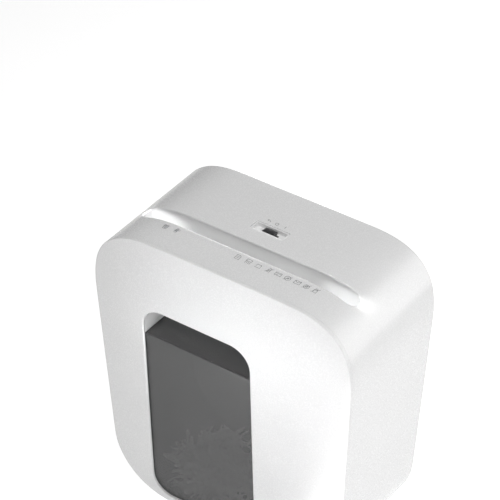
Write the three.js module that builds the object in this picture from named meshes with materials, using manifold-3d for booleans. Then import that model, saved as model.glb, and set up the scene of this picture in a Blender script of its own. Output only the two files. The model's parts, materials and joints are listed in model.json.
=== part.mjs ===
// A desk-side cross-cut paper shredder with a pull-out waste bin, in millimetres.
// +Z is up, the front faces -Y, and the origin is on the resting plane under the middle of the body.
import * as THREE from "three";
import { mergeVertices } from "three/addons/utils/BufferGeometryUtils.js";
import Module from "manifold-3d";

// ---------------------------------------------------------------- driving dimensions
const WIDTH = 339; // widest point, level with the shoulders
const DEPTH = 169; // front edge to back edge, at the shoulders and above
const FOOT_HEIGHT = 4;
const BOTTOM_Z = FOOT_HEIGHT;
const TOP_Z = BOTTOM_Z + 381;
const FRONT_Y = -DEPTH / 2;
const BACK_Y = DEPTH / 2;
const SHOULDER_RX = 93.5; // reach of each top shoulder, across
const SHOULDER_RZ = 84.8; // and down
const SHOULDER_POWER = 2.75; // exponent of the shoulder's superellipse
const SHOULDER_Z = TOP_Z - SHOULDER_RZ;
const SIDE_TAPER = 0.052; // run of each side inwards, per unit of fall
const FRONT_LEAN = 0.037; // run of the front face backwards, per unit of fall below the shoulder
const BACK_LEAN = 0.031;
const BOTTOM_RADIUS = 78.6;
const CROWN = 2.5; // rise of the front face at its middle
const REAR_RISE = 1.6; // rise of the rear cover's plateau
const WALL = 3;
const GAP = 0.3; // between pieces that meet
const PANEL_RIM = 4.5; // depth of the front panel's edge
const PANEL_SKIN = 2.6;

const SLOT_Y = -27.25; // middle of the paper slot
const SLOT_LENGTH = 280;
const SLOT_WIDTH = 20.5;
const SLOT_COVER_CORNER = 1.2; // the throat's wall tops fill the corners of the cover's slot
const THROAT_CORNER = 4;
const SLOT_FLOOR_Z = 357;
const SLIT_LENGTH = 224;
const SLIT_WIDTH = 7;
const THROAT_WALL = 2;
const THROAT_FOOT_Z = 350.5;

const WINDOW_LEFT = -104;
const WINDOW_RIGHT = 40;
const WINDOW_TOP_Z = 295;
const WINDOW_BOTTOM_Z = 14;
const WINDOW_RADIUS = 26;
const WINDOW_TAPER = 0; // run of the window's left edge inwards, per unit of fall
const WINDOW_LAP = 5; // hidden border of the pane behind the panel
const PANE_BACK = 5.2;
const SHELF_Z = 255; // floor of the finger recess and top of the pane
const SHELF_THICKNESS = 2.2;
const RECESS_DEPTH = 46;
const RECESS_WALL = 1.6;

const TUB_CLEARANCE = 3; // tub to housing, all round
const TUB_WALL = 2;
const TUB_TOP_Z = 249;
const TUB_BACK_Y = 66;

const DECK_Z = 298.5;
const DECK_THICKNESS = 2;
const DECK_TOP_Z = DECK_Z + DECK_THICKNESS;
const BULKHEAD_Y = -78.5;
const BULKHEAD_THICKNESS = 2;

const NIP_Z = 328; // height of both cutter axes
const ROLLER_SPACING = 33;
const FRONT_AXIS_Y = SLOT_Y - ROLLER_SPACING / 2;
const REAR_AXIS_Y = SLOT_Y + ROLLER_SPACING / 2;
const DISC_RADIUS = 19;
const DISC_WIDTH = 4.9;
const DISC_PITCH = 11;
const DISC_COUNT = 20;
const SPACER_RADIUS = 12.6;
const SHAFT_RADIUS = 6;
const PLATE_THICKNESS = 3;
const LEFT_PLATE_X = -119;
const RIGHT_PLATE_X = 116;
const PLATE_FRONT_Y = -72;
const PLATE_TOP_Z = 353;
const BUSH_RADIUS = 9;
const BUSH_CLEARANCE = 0.05; // running fit of a shaft in its bush

const SYNC_TEETH = 22;
const SYNC_MODULE = 1.5;
const FINAL_TEETH = 34;
const FINAL_MODULE = 1.5;
const SECOND_TEETH = 32;
const SECOND_MODULE = 1.25;
const FIRST_TEETH = 34;
const FIRST_MODULE = 1;
const SMALL_TEETH = 10;
const PINION_TEETH = 10;
const AXLE_RADIUS = 2.5;
const SECOND_ANGLE = THREE.MathUtils.degToRad(5); // bearing of the second gear from the rear cutter
const MOTOR_AXIS = { y: 49.5, z: 326 };
const MOTOR_RADIUS = 23.5;
const GEAR_PLATE_X = 143;

const materials = {
  white: standard(0xf2f2f1, 0.28, 0),
  innerWhite: standard(0xd9dada, 0.55, 0),
  smoke: standard(0x4c4d4f, 0.2, 0),
  dark: standard(0x2d2e30, 0.6, 0),
  rubber: standard(0x1d1d1e, 0.9, 0),
  steel: standard(0x9c9fa2, 0.38, 1),
  plated: standard(0xb9bcc0, 0.32, 1),
  bronze: standard(0xa7793c, 0.4, 1),
  nylon: standard(0xe6e2d3, 0.5, 0),
  board: standard(0x2a5a3b, 0.6, 0),
  clear: standard(0xdfe5ea, 0.15, 0),
};

function standard(color, roughness, metalness) {
  return new THREE.MeshStandardMaterial({ color, roughness, metalness });
}

// ---------------------------------------------------------------- solids
const wasm = await Module();
wasm.setup();

const TO_X = new THREE.Matrix4().makeBasis(
  new THREE.Vector3(0, 1, 0),
  new THREE.Vector3(0, 0, 1),
  new THREE.Vector3(1, 0, 0),
);
const TO_Y = new THREE.Matrix4().makeBasis(
  new THREE.Vector3(1, 0, 0),
  new THREE.Vector3(0, 0, 1),
  new THREE.Vector3(0, -1, 0),
);

// A closed three.js geometry as a manifold solid.
function solid(geometry) {
  const bare = geometry.index ? geometry.toNonIndexed() : geometry;
  bare.deleteAttribute("normal");
  bare.deleteAttribute("uv");
  const merged = mergeVertices(bare, 1e-4);
  return new wasm.Manifold(
    new wasm.Mesh({
      numProp: 3,
      vertProperties: new Float32Array(merged.attributes.position.array),
      triVerts: new Uint32Array(merged.index.array),
    }),
  );
}

function join(solids) {
  return solids.reduce((whole, next) => whole.add(next));
}

// A named mesh made from a manifold solid.
function piece(name, made, material) {
  const mesh = made.getMesh();
  const geometry = new THREE.BufferGeometry();
  geometry.setAttribute("position", new THREE.BufferAttribute(mesh.vertProperties, 3));
  geometry.setIndex(new THREE.BufferAttribute(mesh.triVerts, 1));
  geometry.computeVertexNormals();
  const named = new THREE.Mesh(geometry, material);
  named.name = name;
  return named;
}

function group(...children) {
  const made = new THREE.Group();
  made.add(...children);
  return made;
}

function extruded(points, length) {
  return new THREE.ExtrudeGeometry(new THREE.Shape(points), { depth: length, bevelEnabled: false });
}

// Prisms whose outline lies across the named axis.
function prismX(outlineYZ, x0, x1) {
  return solid(extruded(outlineYZ, x1 - x0).applyMatrix4(TO_X).translate(x0, 0, 0));
}

function prismY(outlineXZ, y0, y1) {
  return solid(extruded(outlineXZ, y1 - y0).applyMatrix4(TO_Y).translate(0, y1, 0));
}

function prismZ(outlineXY, z0, z1) {
  return solid(extruded(outlineXY, z1 - z0).translate(0, 0, z0));
}

function box(x0, x1, y0, y1, z0, z1) {
  const geometry = new THREE.BoxGeometry(x1 - x0, y1 - y0, z1 - z0);
  return solid(geometry.translate((x0 + x1) / 2, (y0 + y1) / 2, (z0 + z1) / 2));
}

function rodX(y, z, radius, x0, x1, sides = 20) {
  const geometry = new THREE.CylinderGeometry(radius, radius, x1 - x0, sides);
  return solid(geometry.rotateZ(-Math.PI / 2).translate((x0 + x1) / 2, y, z));
}

function rodY(x, z, radius, y0, y1, sides = 16) {
  const geometry = new THREE.CylinderGeometry(radius, radius, y1 - y0, sides);
  return solid(geometry.translate(x, (y0 + y1) / 2, z));
}

function rodZ(x, y, radius, z0, z1, sides = 16) {
  const geometry = new THREE.CylinderGeometry(radius, radius, z1 - z0, sides);
  return solid(geometry.rotateX(Math.PI / 2).translate(x, y, (z0 + z1) / 2));
}

// Radius of a many-sided bore whose flats clear a turning shaft.
function boreRadius(shaftRadius, clearance, sides) {
  return (shaftRadius + clearance) / Math.cos(Math.PI / sides);
}

// ---------------------------------------------------------------- outlines
function point(x, y) {
  return new THREE.Vector2(x, y);
}

function arc(cx, cy, radius, from, to, steps) {
  return Array.from({ length: steps + 1 }, (_, i) => {
    const angle = from + ((to - from) * i) / steps;
    return point(cx + radius * Math.cos(angle), cy + radius * Math.sin(angle));
  });
}

// Height of the top surface above a given distance from the middle.
function topHeight(x) {
  const reach = Math.max(0, Math.abs(x) - (WIDTH / 2 - SHOULDER_RX)) / SHOULDER_RX;
  return SHOULDER_Z + SHOULDER_RZ * (1 - reach ** SHOULDER_POWER) ** (1 / SHOULDER_POWER);
}

// The body's right half outline seen from the front, from the bottom middle to the top middle.
function rightHalf() {
  const slope = Math.atan(SIDE_TAPER);
  const tangentZ = BOTTOM_Z + BOTTOM_RADIUS * (1 - Math.sin(slope));
  const tangentX = WIDTH / 2 - SIDE_TAPER * (SHOULDER_Z - tangentZ);
  const centreX = tangentX - BOTTOM_RADIUS * Math.cos(slope);
  const lower = arc(centreX, BOTTOM_Z + BOTTOM_RADIUS, BOTTOM_RADIUS, -Math.PI / 2, -slope, 7);
  const steps = 10;
  const upper = Array.from({ length: steps + 1 }, (_, i) => {
    const angle = (Math.PI / 2) * (i / steps);
    const across = Math.cos(angle) ** (2 / SHOULDER_POWER);
    const up = Math.sin(angle) ** (2 / SHOULDER_POWER);
    return point(WIDTH / 2 - SHOULDER_RX * (1 - across), SHOULDER_Z + SHOULDER_RZ * up);
  });
  return [...lower, ...upper];
}

// The whole outline, counter-clockwise, moved inwards by an inset.
function bodyOutline(inset = 0) {
  const right = rightHalf();
  const left = right.map((p) => point(-p.x, p.y)).reverse();
  const whole = [...right, ...left];
  return whole.map((p, i) => {
    const before = whole[(i + whole.length - 1) % whole.length];
    const after = whole[(i + 1) % whole.length];
    const a = p.clone().sub(before).normalize();
    const b = after.clone().sub(p).normalize();
    const inward = point(-a.y - b.y, a.x + b.x).normalize();
    const spread = Math.sqrt((1 + a.dot(b)) / 2);
    return p.clone().addScaledVector(inward, inset / spread);
  });
}

// The window's outline on the front face, grown by a border.
function windowOutline(border = 0) {
  const radius = WINDOW_RADIUS + border;
  const low = WINDOW_BOTTOM_Z - border;
  const high = WINDOW_TOP_Z + border;
  const right = WINDOW_RIGHT + border;
  const left = WINDOW_LEFT - border;
  const leftLow = left + WINDOW_TAPER * (high - low);
  const slope = Math.atan(WINDOW_TAPER);
  return [
    ...arc(right - radius, low + radius, radius, -Math.PI / 2, 0, 5),
    ...arc(right - radius, high - radius, radius, 0, Math.PI / 2, 5),
    ...arc(left + radius, high - radius, radius, Math.PI / 2, Math.PI + slope, 5),
    ...arc(leftLow + radius, low + radius, radius, Math.PI + slope, 1.5 * Math.PI, 5),
  ];
}

// A long slot seen from above, with round ends or, given a smaller corner radius, squarer ones.
function slotOutline(length, width, steps, corner = width / 2) {
  const reach = length / 2 - corner;
  const near = SLOT_Y - width / 2 + corner;
  const far = SLOT_Y + width / 2 - corner;
  return [
    ...arc(reach, near, corner, -Math.PI / 2, 0, steps / 2),
    ...arc(reach, far, corner, 0, Math.PI / 2, steps / 2),
    ...arc(-reach, far, corner, Math.PI / 2, Math.PI, steps / 2),
    ...arc(-reach, near, corner, Math.PI, 1.5 * Math.PI, steps / 2),
  ];
}

function rectangle(x0, x1, y0, y1) {
  return [point(x0, y0), point(x1, y0), point(x1, y1), point(x0, y1)];
}

function frontY(z) {
  return FRONT_Y + FRONT_LEAN * Math.max(0, SHOULDER_Z - z);
}

function backY(z) {
  return BACK_Y - BACK_LEAN * Math.max(0, SHOULDER_Z - z);
}

// Everything between two distances behind the front face, or between such a distance and the back.
function behindFront(from, to) {
  const levels = [0, SHOULDER_Z, TOP_Z + 1];
  const near = levels.map((z) => point(frontY(z) + from, z));
  const far = levels.map((z) => point(frontY(z) + to, z));
  return prismX([...far, ...near.reverse()], -WIDTH, WIDTH);
}

function aheadOfBack(from, to) {
  const levels = [0, SHOULDER_Z, TOP_Z + 1];
  const near = levels.map((z) => point(backY(z) - to, z));
  const far = levels.map((z) => point(backY(z) - from, z));
  return prismX([...far, ...near.reverse()], -WIDTH, WIDTH);
}

// ---------------------------------------------------------------- housing
const REAR_RIM = 3;
const REAR_SCREWS = [
  [-153, 330],
  [153, 330],
  [-138, 90],
  [138, 90],
];
const BOSS_RADIUS = 5;
const BOSS_FRONT_Y = 67.5;
const SCREW_RADIUS = 1.8;
const SCREW_FIT = 0.1; // hole to thread
const SHANK_RADIUS = SCREW_RADIUS - 0.2;
const REAR_SCREW = { head: 3.4, rise: 2, length: 8, seatRadius: 4, seatDepth: 0.6, padRadius: 7 };
const FOOT_X = 62;
const FOOT_Y = [-52, 50];
const FOOT_RADIUS = 11;
const FOOT_PEG = 4;
const SWITCH_Y = 12;
const SWITCH_WELL = { length: 44, width: 15, floorZ: 380 };
const LENS_PLACES = [
  [-97, -47],
  [-83, -46.3],
];
const LENS_RADIUS = 2.4;
const LENS_FOOT_Z = TOP_Z - 8;
const BOARD_THICKNESS = 1.6;

function housingWrap() {
  const outer = prismY(bodyOutline(), -DEPTH, DEPTH);
  const inner = prismY(bodyOutline(WALL), -DEPTH, DEPTH);
  const between = box(-WIDTH, WIDTH, -DEPTH, DEPTH, 0, TOP_Z + 1)
    .subtract(behindFront(-DEPTH, PANEL_RIM + GAP))
    .subtract(aheadOfBack(-DEPTH, REAR_RIM + GAP));
  let shell = outer.subtract(inner);
  for (const [x, z] of REAR_SCREWS) {
    const side = Math.sign(x);
    const arm = box(Math.min(x, side * WIDTH), Math.max(x, side * WIDTH), BOSS_FRONT_Y, BACK_Y, z - 2, z + 2);
    const boss = rodY(x, z, BOSS_RADIUS, BOSS_FRONT_Y, BACK_Y, 10).add(arm.intersect(outer));
    shell = shell.add(boss);
  }
  for (const [x, z] of REAR_SCREWS) {
    shell = shell.subtract(rodY(x, z, SCREW_RADIUS + SCREW_FIT, 0, BACK_Y + 1, 10));
  }
  shell = shell.intersect(between);
  const slot = slotOutline(SLOT_LENGTH, SLOT_WIDTH, 6, SLOT_COVER_CORNER);
  shell = shell.subtract(prismZ(slot, SHOULDER_Z, TOP_Z + 1));
  const well = rectangle(
    -SWITCH_WELL.length / 2,
    SWITCH_WELL.length / 2,
    SWITCH_Y - SWITCH_WELL.width / 2,
    SWITCH_Y + SWITCH_WELL.width / 2,
  );
  shell = shell.subtract(prismZ(well, SHOULDER_Z, TOP_Z + 1));
  for (const [x, y] of LENS_PLACES) {
    shell = shell.subtract(rodZ(x, y, LENS_RADIUS + GAP, SHOULDER_Z, TOP_Z + 1, 10));
  }
  for (const x of [-FOOT_X, FOOT_X]) {
    for (const y of FOOT_Y) {
      shell = shell.subtract(rodZ(x, y, FOOT_PEG + GAP, 0, BOTTOM_Z + WALL + 1, 10));
    }
  }
  return piece("housing_wrap", shell, materials.white);
}

const VENT_ROWS = 7;
const VENT_LENGTH = 74;
const VENT_HEIGHT = 3;
const VENT_PITCH = 8;
const VENT_LOW_Z = 296;
const VENT_CENTRES = [-52, 52];
const GLAND = { x: -122, z: 316, radius: 8, bore: 3.4, collar: 1.6, tail: 2 };
const COVER_INSET = 0.8; // edge of the rear cover inside the housing's
const PLATEAU_INSET = 12;
const PLATEAU_WALL = 2;

function rearCover() {
  const plate = prismY(bodyOutline(COVER_INSET), -DEPTH, DEPTH).intersect(aheadOfBack(0, REAR_RIM));
  const plateau = prismY(bodyOutline(PLATEAU_INSET), -DEPTH, DEPTH).intersect(
    aheadOfBack(-REAR_RISE, REAR_RIM - 0.5),
  );
  const hollow = prismY(bodyOutline(PLATEAU_INSET + PLATEAU_WALL), -DEPTH, DEPTH).intersect(
    aheadOfBack(0.3, REAR_RIM + 1),
  );
  const { seatRadius, seatDepth, padRadius } = REAR_SCREW;
  const pads = REAR_SCREWS.map(([x, z]) => rodY(x, z, padRadius, backY(z) - REAR_RIM, backY(z) + 1, 12));
  let cover = join([plate.add(plateau).subtract(hollow), ...pads]);
  for (const [x, z] of REAR_SCREWS) {
    cover = cover.subtract(rodY(x, z, SCREW_RADIUS + GAP, 0, BACK_Y + 9, 10));
    cover = cover.subtract(rodY(x, z, seatRadius, backY(z) - seatDepth, BACK_Y + 9, 12));
  }
  for (const x of VENT_CENTRES) {
    for (let row = 0; row < VENT_ROWS; row += 1) {
      const z = VENT_LOW_Z + row * VENT_PITCH;
      const vent = box(x - VENT_LENGTH / 2, x + VENT_LENGTH / 2, 0, DEPTH, z, z + VENT_HEIGHT);
      cover = cover.subtract(vent);
    }
  }
  cover = cover.subtract(rodY(GLAND.x, GLAND.z, GLAND.radius, 0, DEPTH, 16));
  return piece("rear_cover", cover, materials.white);
}

function lathe(profile, sides) {
  return new THREE.LatheGeometry(
    profile.map(([r, h]) => point(r, h)),
    sides,
  );
}

// A pan-head screw, pointing along -Y from the underside of its head at the origin.
function screwSolid(headRadius, headHeight, shankRadius, length) {
  const profile = [
    [0, -length],
    [shankRadius, -length],
    [shankRadius, 0],
    [headRadius, 0],
    [headRadius * 0.8, headHeight],
    [0, headHeight],
  ];
  return solid(lathe(profile, 8));
}

function rearScrews() {
  const { head, rise, length, seatDepth } = REAR_SCREW;
  return REAR_SCREWS.map(([x, z], i) => {
    const made = screwSolid(head, rise, SHANK_RADIUS, length);
    const screw = piece(`rear_screw_${i + 1}`, made, materials.plated);
    screw.position.set(x, backY(z) - seatDepth + 0.2, z);
    return screw;
  });
}

function cordGland() {
  const y = backY(GLAND.z);
  const profile = [
    [GLAND.bore, -REAR_RIM - GLAND.tail],
    [GLAND.radius + GLAND.collar, -REAR_RIM - GLAND.tail],
    [GLAND.radius + GLAND.collar, -REAR_RIM - GAP],
    [GLAND.radius - GAP, -REAR_RIM - GAP],
    [GLAND.radius - GAP, REAR_RISE * 0.6],
    [GLAND.bore, REAR_RISE * 0.9],
    [GLAND.bore, -REAR_RIM - GLAND.tail],
  ];
  const gland = piece("cord_gland", solid(lathe(profile, 16)), materials.rubber);
  gland.position.set(GLAND.x, y, GLAND.z);
  return gland;
}

function feet() {
  const profile = [
    [0, 0],
    [FOOT_RADIUS - 1.5, 0],
    [FOOT_RADIUS, 1.5],
    [FOOT_RADIUS, FOOT_HEIGHT - GAP],
    [FOOT_PEG, FOOT_HEIGHT - GAP],
    [FOOT_PEG, FOOT_HEIGHT + WALL - GAP],
    [0, FOOT_HEIGHT + WALL - GAP],
  ];
  const places = FOOT_Y.flatMap((y) => [-FOOT_X, FOOT_X].map((x) => [x, y]));
  return places.map(([x, y], i) => {
    const turned = lathe(profile, 12).rotateX(Math.PI / 2);
    const foot = piece(`foot_${i + 1}`, solid(turned), materials.rubber);
    foot.position.set(x, y, 0);
    return foot;
  });
}

// ---------------------------------------------------------------- paper path and controls
const FLAG = { pivotY: -9, pivotZ: 361, pin: 1.8, pinReach: 9, hub: 3, arm: 3, width: 5, reach: 18.5 };
const FLAG_EAR = { inner: 4.5, thickness: 3, rise: 4 };
const FLAG_NOTCH = 4; // half width of the cut that lets the flag through the slot's back wall

function slotThroat() {
  const grown = THROAT_WALL * 2;
  const wallOutline = slotOutline(SLOT_LENGTH + grown, SLOT_WIDTH + grown, 6, THROAT_CORNER);
  const wall = prismZ(wallOutline, SLOT_FLOOR_Z - THROAT_WALL, TOP_Z);
  const bore = prismZ(slotOutline(SLOT_LENGTH, SLOT_WIDTH, 6), SLOT_FLOOR_Z, TOP_Z + 1);
  const skirt = prismZ(
    slotOutline(SLIT_LENGTH + grown, SLIT_WIDTH + grown, 4),
    THROAT_FOOT_Z,
    SLOT_FLOOR_Z - 1,
  );
  const slit = prismZ(slotOutline(SLIT_LENGTH, SLIT_WIDTH, 4), THROAT_FOOT_Z - 1, TOP_Z);
  const underHousing = prismY(bodyOutline(WALL + GAP), -DEPTH, DEPTH);
  const ears = [-1, 1].map((side) => {
    const { inner, thickness, rise } = FLAG_EAR;
    const x0 = side > 0 ? inner : -inner - thickness;
    const ear = box(
      x0,
      x0 + thickness,
      SLOT_Y + SLOT_WIDTH / 2,
      FLAG.pivotY + rise,
      SLOT_FLOOR_Z - THROAT_WALL,
      FLAG.pivotZ + rise,
    );
    return ear.subtract(rodX(FLAG.pivotY, FLAG.pivotZ, FLAG.pin + GAP, x0 - 1, x0 + thickness + 1, 10));
  });
  const notch = box(
    -FLAG_NOTCH,
    FLAG_NOTCH,
    SLOT_Y,
    SLOT_Y + SLOT_WIDTH / 2 + FLAG_EAR.rise,
    THROAT_FOOT_Z - 1,
    FLAG.pivotZ + FLAG_EAR.rise,
  );
  let throat = wall.add(skirt).subtract(bore).subtract(slit).intersect(underHousing);
  throat = join([throat, ...ears]).subtract(notch);
  return piece("slot_throat", throat, materials.innerWhite);
}

function paperFlag() {
  const arm = box(
    -FLAG.width / 2,
    FLAG.width / 2,
    FLAG.pivotY - FLAG.reach,
    FLAG.pivotY,
    FLAG.pivotZ - FLAG.arm / 2,
    FLAG.pivotZ + FLAG.arm / 2,
  );
  const pin = rodX(FLAG.pivotY, FLAG.pivotZ, FLAG.pin, -FLAG.pinReach, FLAG.pinReach, 10);
  const hub = rodX(FLAG.pivotY, FLAG.pivotZ, FLAG.hub, -FLAG_NOTCH, FLAG_NOTCH, 10);
  return piece("paper_flag", join([arm, pin, hub]), materials.dark);
}

const KNOB = { length: 15, width: 7, travel: 7, topZ: 384.8, stemLength: 6.4, stemWidth: 2.8, stemDrop: 6 };
const BEZEL = { lip: 1.5, flangeX: 3, flangeY: 2, floor: 1.5 };
const TRACK = { reach: KNOB.travel + 4, half: 2 };
const SWITCH_BODY = { half: 18, depth: 6, height: 13, pinDrop: 5, pins: [-12, 0, 12] };

function switchBezel() {
  const half = SWITCH_WELL.length / 2 - GAP;
  const deep = SWITCH_WELL.width / 2 - GAP;
  const low = SWITCH_WELL.floorZ - BEZEL.floor;
  const block = (growX, growY, z0, z1) =>
    box(-half - growX, half + growX, SWITCH_Y - deep - growY, SWITCH_Y + deep + growY, z0, z1);
  const outer = block(0, 0, low, TOP_Z - 0.4);
  const flange = block(BEZEL.flangeX, BEZEL.flangeY, low, TOP_Z - WALL - GAP);
  const dish = block(-BEZEL.lip, -BEZEL.lip, SWITCH_WELL.floorZ, TOP_Z);
  const bezel = outer.add(flange).subtract(dish).subtract(knobTrack(SHOULDER_Z));
  return piece("switch_bezel", bezel, materials.innerWhite);
}

function knobTrack(low) {
  return box(-TRACK.reach, TRACK.reach, SWITCH_Y - TRACK.half, SWITCH_Y + TRACK.half, low, TOP_Z);
}

function switchKnob() {
  const block = (length, width, z0, z1) =>
    box(-length / 2, length / 2, SWITCH_Y - width / 2, SWITCH_Y + width / 2, z0, z1);
  const cap = block(KNOB.length, KNOB.width, SWITCH_WELL.floorZ + GAP, KNOB.topZ);
  const floor = SWITCH_WELL.floorZ;
  const stem = block(KNOB.stemLength, KNOB.stemWidth, floor - KNOB.stemDrop, floor + 2);
  return piece("switch_knob", cap.add(stem), materials.dark);
}

function switchBody() {
  const { half, depth, height, pinDrop, pins } = SWITCH_BODY;
  const high = SWITCH_WELL.floorZ - BEZEL.floor - GAP;
  const low = high - height;
  const body = box(-half, half, SWITCH_Y - depth, SWITCH_Y + depth, low, high);
  const legs = pins.map((x) => box(x - 1.5, x + 1.5, SWITCH_Y - 0.5, SWITCH_Y + 0.5, low - pinDrop, low + 1));
  return piece("switch_body", join([body.subtract(knobTrack(high - 8)), ...legs]), materials.dark);
}

function indicatorLenses() {
  return LENS_PLACES.map(([x, y], i) => {
    const top = topHeight(x) - 0.2;
    const lens = rodZ(x, y, LENS_RADIUS, LENS_FOOT_Z, top, 10);
    return piece(`indicator_lens_${i + 1}`, lens, materials.clear);
  });
}

function indicatorBoard() {
  const low = LENS_FOOT_Z - GAP - BOARD_THICKNESS;
  const board = box(-112, -68, -54, -41.5, low, low + BOARD_THICKNESS);
  const chips = LENS_PLACES.map(([x, y]) => box(x - 2, x + 2, y - 2, y + 2, low - 1, low + 1.4));
  const plug = box(-92, -86, -51, -45, low - 6, low + 1);
  return piece("indicator_board", join([board, ...chips, plug]), materials.board);
}

// ---------------------------------------------------------------- head frame
const DROP = { x: 112, front: -66, back: 12 };

function headDeck() {
  const inside = prismY(bodyOutline(WALL + GAP), -DEPTH, DEPTH);
  const slab = box(-WIDTH, WIDTH, BULKHEAD_Y, 79, DECK_Z, DECK_TOP_Z).intersect(inside);
  const opening = box(-DROP.x, DROP.x, DROP.front, DROP.back, DECK_Z - 1, DECK_TOP_Z + 1);
  const posts = BOARD_POSTS.map(([x, y]) => rodZ(x, y, 3, DECK_TOP_Z - 1, BOARD_Z - GAP, 8));
  let deck = join([slab.subtract(opening), ...posts]);
  for (const [x, y] of FRAME_SCREWS) {
    deck = deck.subtract(rodZ(x, y, SCREW_RADIUS + 0.1, DECK_Z - 1, DECK_TOP_Z + 1, 8));
  }
  return piece("head_deck", deck, materials.innerWhite);
}

const INTERLOCK = {
  x: -142, z: 336, rod: 2.4, bore: 12, inside: 10, halfWidth: 6, halfHeight: 9, length: 20,
};
const STRIKER_RADIUS = 5;

function headBulkhead() {
  const inside = prismY(bodyOutline(WALL + GAP), BULKHEAD_Y, BULKHEAD_Y + BULKHEAD_THICKNESS);
  const above = box(-WIDTH, WIDTH, -DEPTH, DEPTH, DECK_TOP_Z + GAP, TOP_Z);
  const hole = rodY(INTERLOCK.x, INTERLOCK.z, INTERLOCK.rod + GAP, -DEPTH, 0, 10);
  return piece("head_bulkhead", inside.intersect(above).subtract(hole), materials.innerWhite);
}

function interlockSwitch() {
  const back = BULKHEAD_Y + BULKHEAD_THICKNESS;
  const { x, z, rod, halfWidth, halfHeight, length } = INTERLOCK;
  const body = box(x - halfWidth, x + halfWidth, back + GAP, back + length, z - halfHeight, z + halfHeight);
  const bore = rodY(x, z, rod + GAP, back - 1, back + INTERLOCK.bore, 10);
  return piece("interlock_switch", body.subtract(bore), materials.dark);
}

function interlockPlunger() {
  const { x, z, rod, inside } = INTERLOCK;
  const pin = rodY(x, z, rod, FRONT_Y + PANEL_RIM + GAP, BULKHEAD_Y + inside, 10);
  return piece("interlock_plunger", pin, materials.nylon);
}

const FLANGE = 13;
const FLANGE_THICKNESS = PLATE_THICKNESS * 0.7;
const FRAME_SCREW = { head: 3.2, rise: 1.8, length: 7 };
const RIGHT_PLATE_BACK_Y = 78;
const RIGHT_PLATE_TOP_Z = 362;
const LEFT_PLATE_BACK_Y = 18;
const FRAME_SCREWS = [
  [LEFT_PLATE_X - 7, -58],
  [LEFT_PLATE_X - 7, 6],
  [RIGHT_PLATE_X + 7, -58],
  [RIGHT_PLATE_X + 7, 56],
];
const TIE_RODS = [
  [-66, 346],
  [12, 346],
];
const TIE_RADIUS = 3;
const TIE_END = { radius: 2.1, reach: 4.5 }; // turned-down end through each plate
const PILOT_RADIUS = 6; // hole round the motor's shaft

const finalCentre = { y: REAR_AXIS_Y, z: NIP_Z };
const secondCentre = offsetCentre(
  finalCentre,
  (FINAL_MODULE * (FINAL_TEETH + SMALL_TEETH)) / 2,
  SECOND_ANGLE,
);
const firstCentre = thirdCorner(
  secondCentre,
  MOTOR_AXIS,
  (SECOND_MODULE * (SECOND_TEETH + SMALL_TEETH)) / 2,
  (FIRST_MODULE * (FIRST_TEETH + PINION_TEETH)) / 2,
);

function offsetCentre(from, distance, angle) {
  return { y: from.y + distance * Math.cos(angle), z: from.z + distance * Math.sin(angle) };
}

// The upper of the two points at the given distances from two centres.
function thirdCorner(a, b, fromA, fromB) {
  const dy = b.y - a.y;
  const dz = b.z - a.z;
  const span = Math.hypot(dy, dz);
  const along = (fromA ** 2 - fromB ** 2 + span ** 2) / (2 * span);
  const off = Math.sqrt(fromA ** 2 - along ** 2);
  return {
    y: a.y + (along * dy - off * dz) / span,
    z: a.z + (along * dz + off * dy) / span,
  };
}

function cutterPlate(name, x, outline, flangeSide, flangeFrom, flangeTo) {
  let plate = prismX(outline, x - PLATE_THICKNESS / 2, x + PLATE_THICKNESS / 2);
  const flangeX = x + flangeSide * FLANGE;
  const low = DECK_TOP_Z + GAP;
  const flange = box(
    Math.min(x, flangeX),
    Math.max(x, flangeX),
    flangeFrom,
    flangeTo,
    low,
    low + FLANGE_THICKNESS,
  );
  plate = plate.add(flange);
  for (const y of [FRONT_AXIS_Y, REAR_AXIS_Y]) {
    plate = plate.subtract(rodX(y, NIP_Z, BUSH_RADIUS + GAP, x - 5, x + 5, 20));
  }
  for (const [sx, sy] of FRAME_SCREWS) {
    plate = plate.subtract(rodZ(sx, sy, SCREW_RADIUS + GAP, DECK_Z, DECK_Z + 9, 8));
  }
  for (const [y, z] of TIE_RODS) {
    plate = plate.subtract(rodX(y, z, TIE_END.radius + GAP, x - 5, x + 5, 10));
  }
  plate = plate.subtract(rodX(MOTOR_AXIS.y, MOTOR_AXIS.z, PILOT_RADIUS, x - 5, x + 5, 14));
  return piece(name, plate, materials.steel);
}

function leftPlate() {
  const low = DECK_TOP_Z + GAP;
  const outline = rectangle(PLATE_FRONT_Y, LEFT_PLATE_BACK_Y, low, PLATE_TOP_Z);
  return cutterPlate("cutter_plate_left", LEFT_PLATE_X, outline, -1, PLATE_FRONT_Y, LEFT_PLATE_BACK_Y);
}

function rightPlate() {
  const low = DECK_TOP_Z + GAP;
  const outline = [
    point(PLATE_FRONT_Y, low),
    point(RIGHT_PLATE_BACK_Y, low),
    point(RIGHT_PLATE_BACK_Y, RIGHT_PLATE_TOP_Z - 12),
    point(RIGHT_PLATE_BACK_Y - 12, RIGHT_PLATE_TOP_Z),
    point(12, RIGHT_PLATE_TOP_Z),
    point(2, PLATE_TOP_Z),
    point(PLATE_FRONT_Y, PLATE_TOP_Z),
  ];
  return cutterPlate("cutter_plate_right", RIGHT_PLATE_X, outline, 1, PLATE_FRONT_Y, RIGHT_PLATE_BACK_Y);
}

const BUSH_REACH = PLATE_THICKNESS / 2 + 2.5;
const BUSH_COLLAR = 2;

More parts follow.
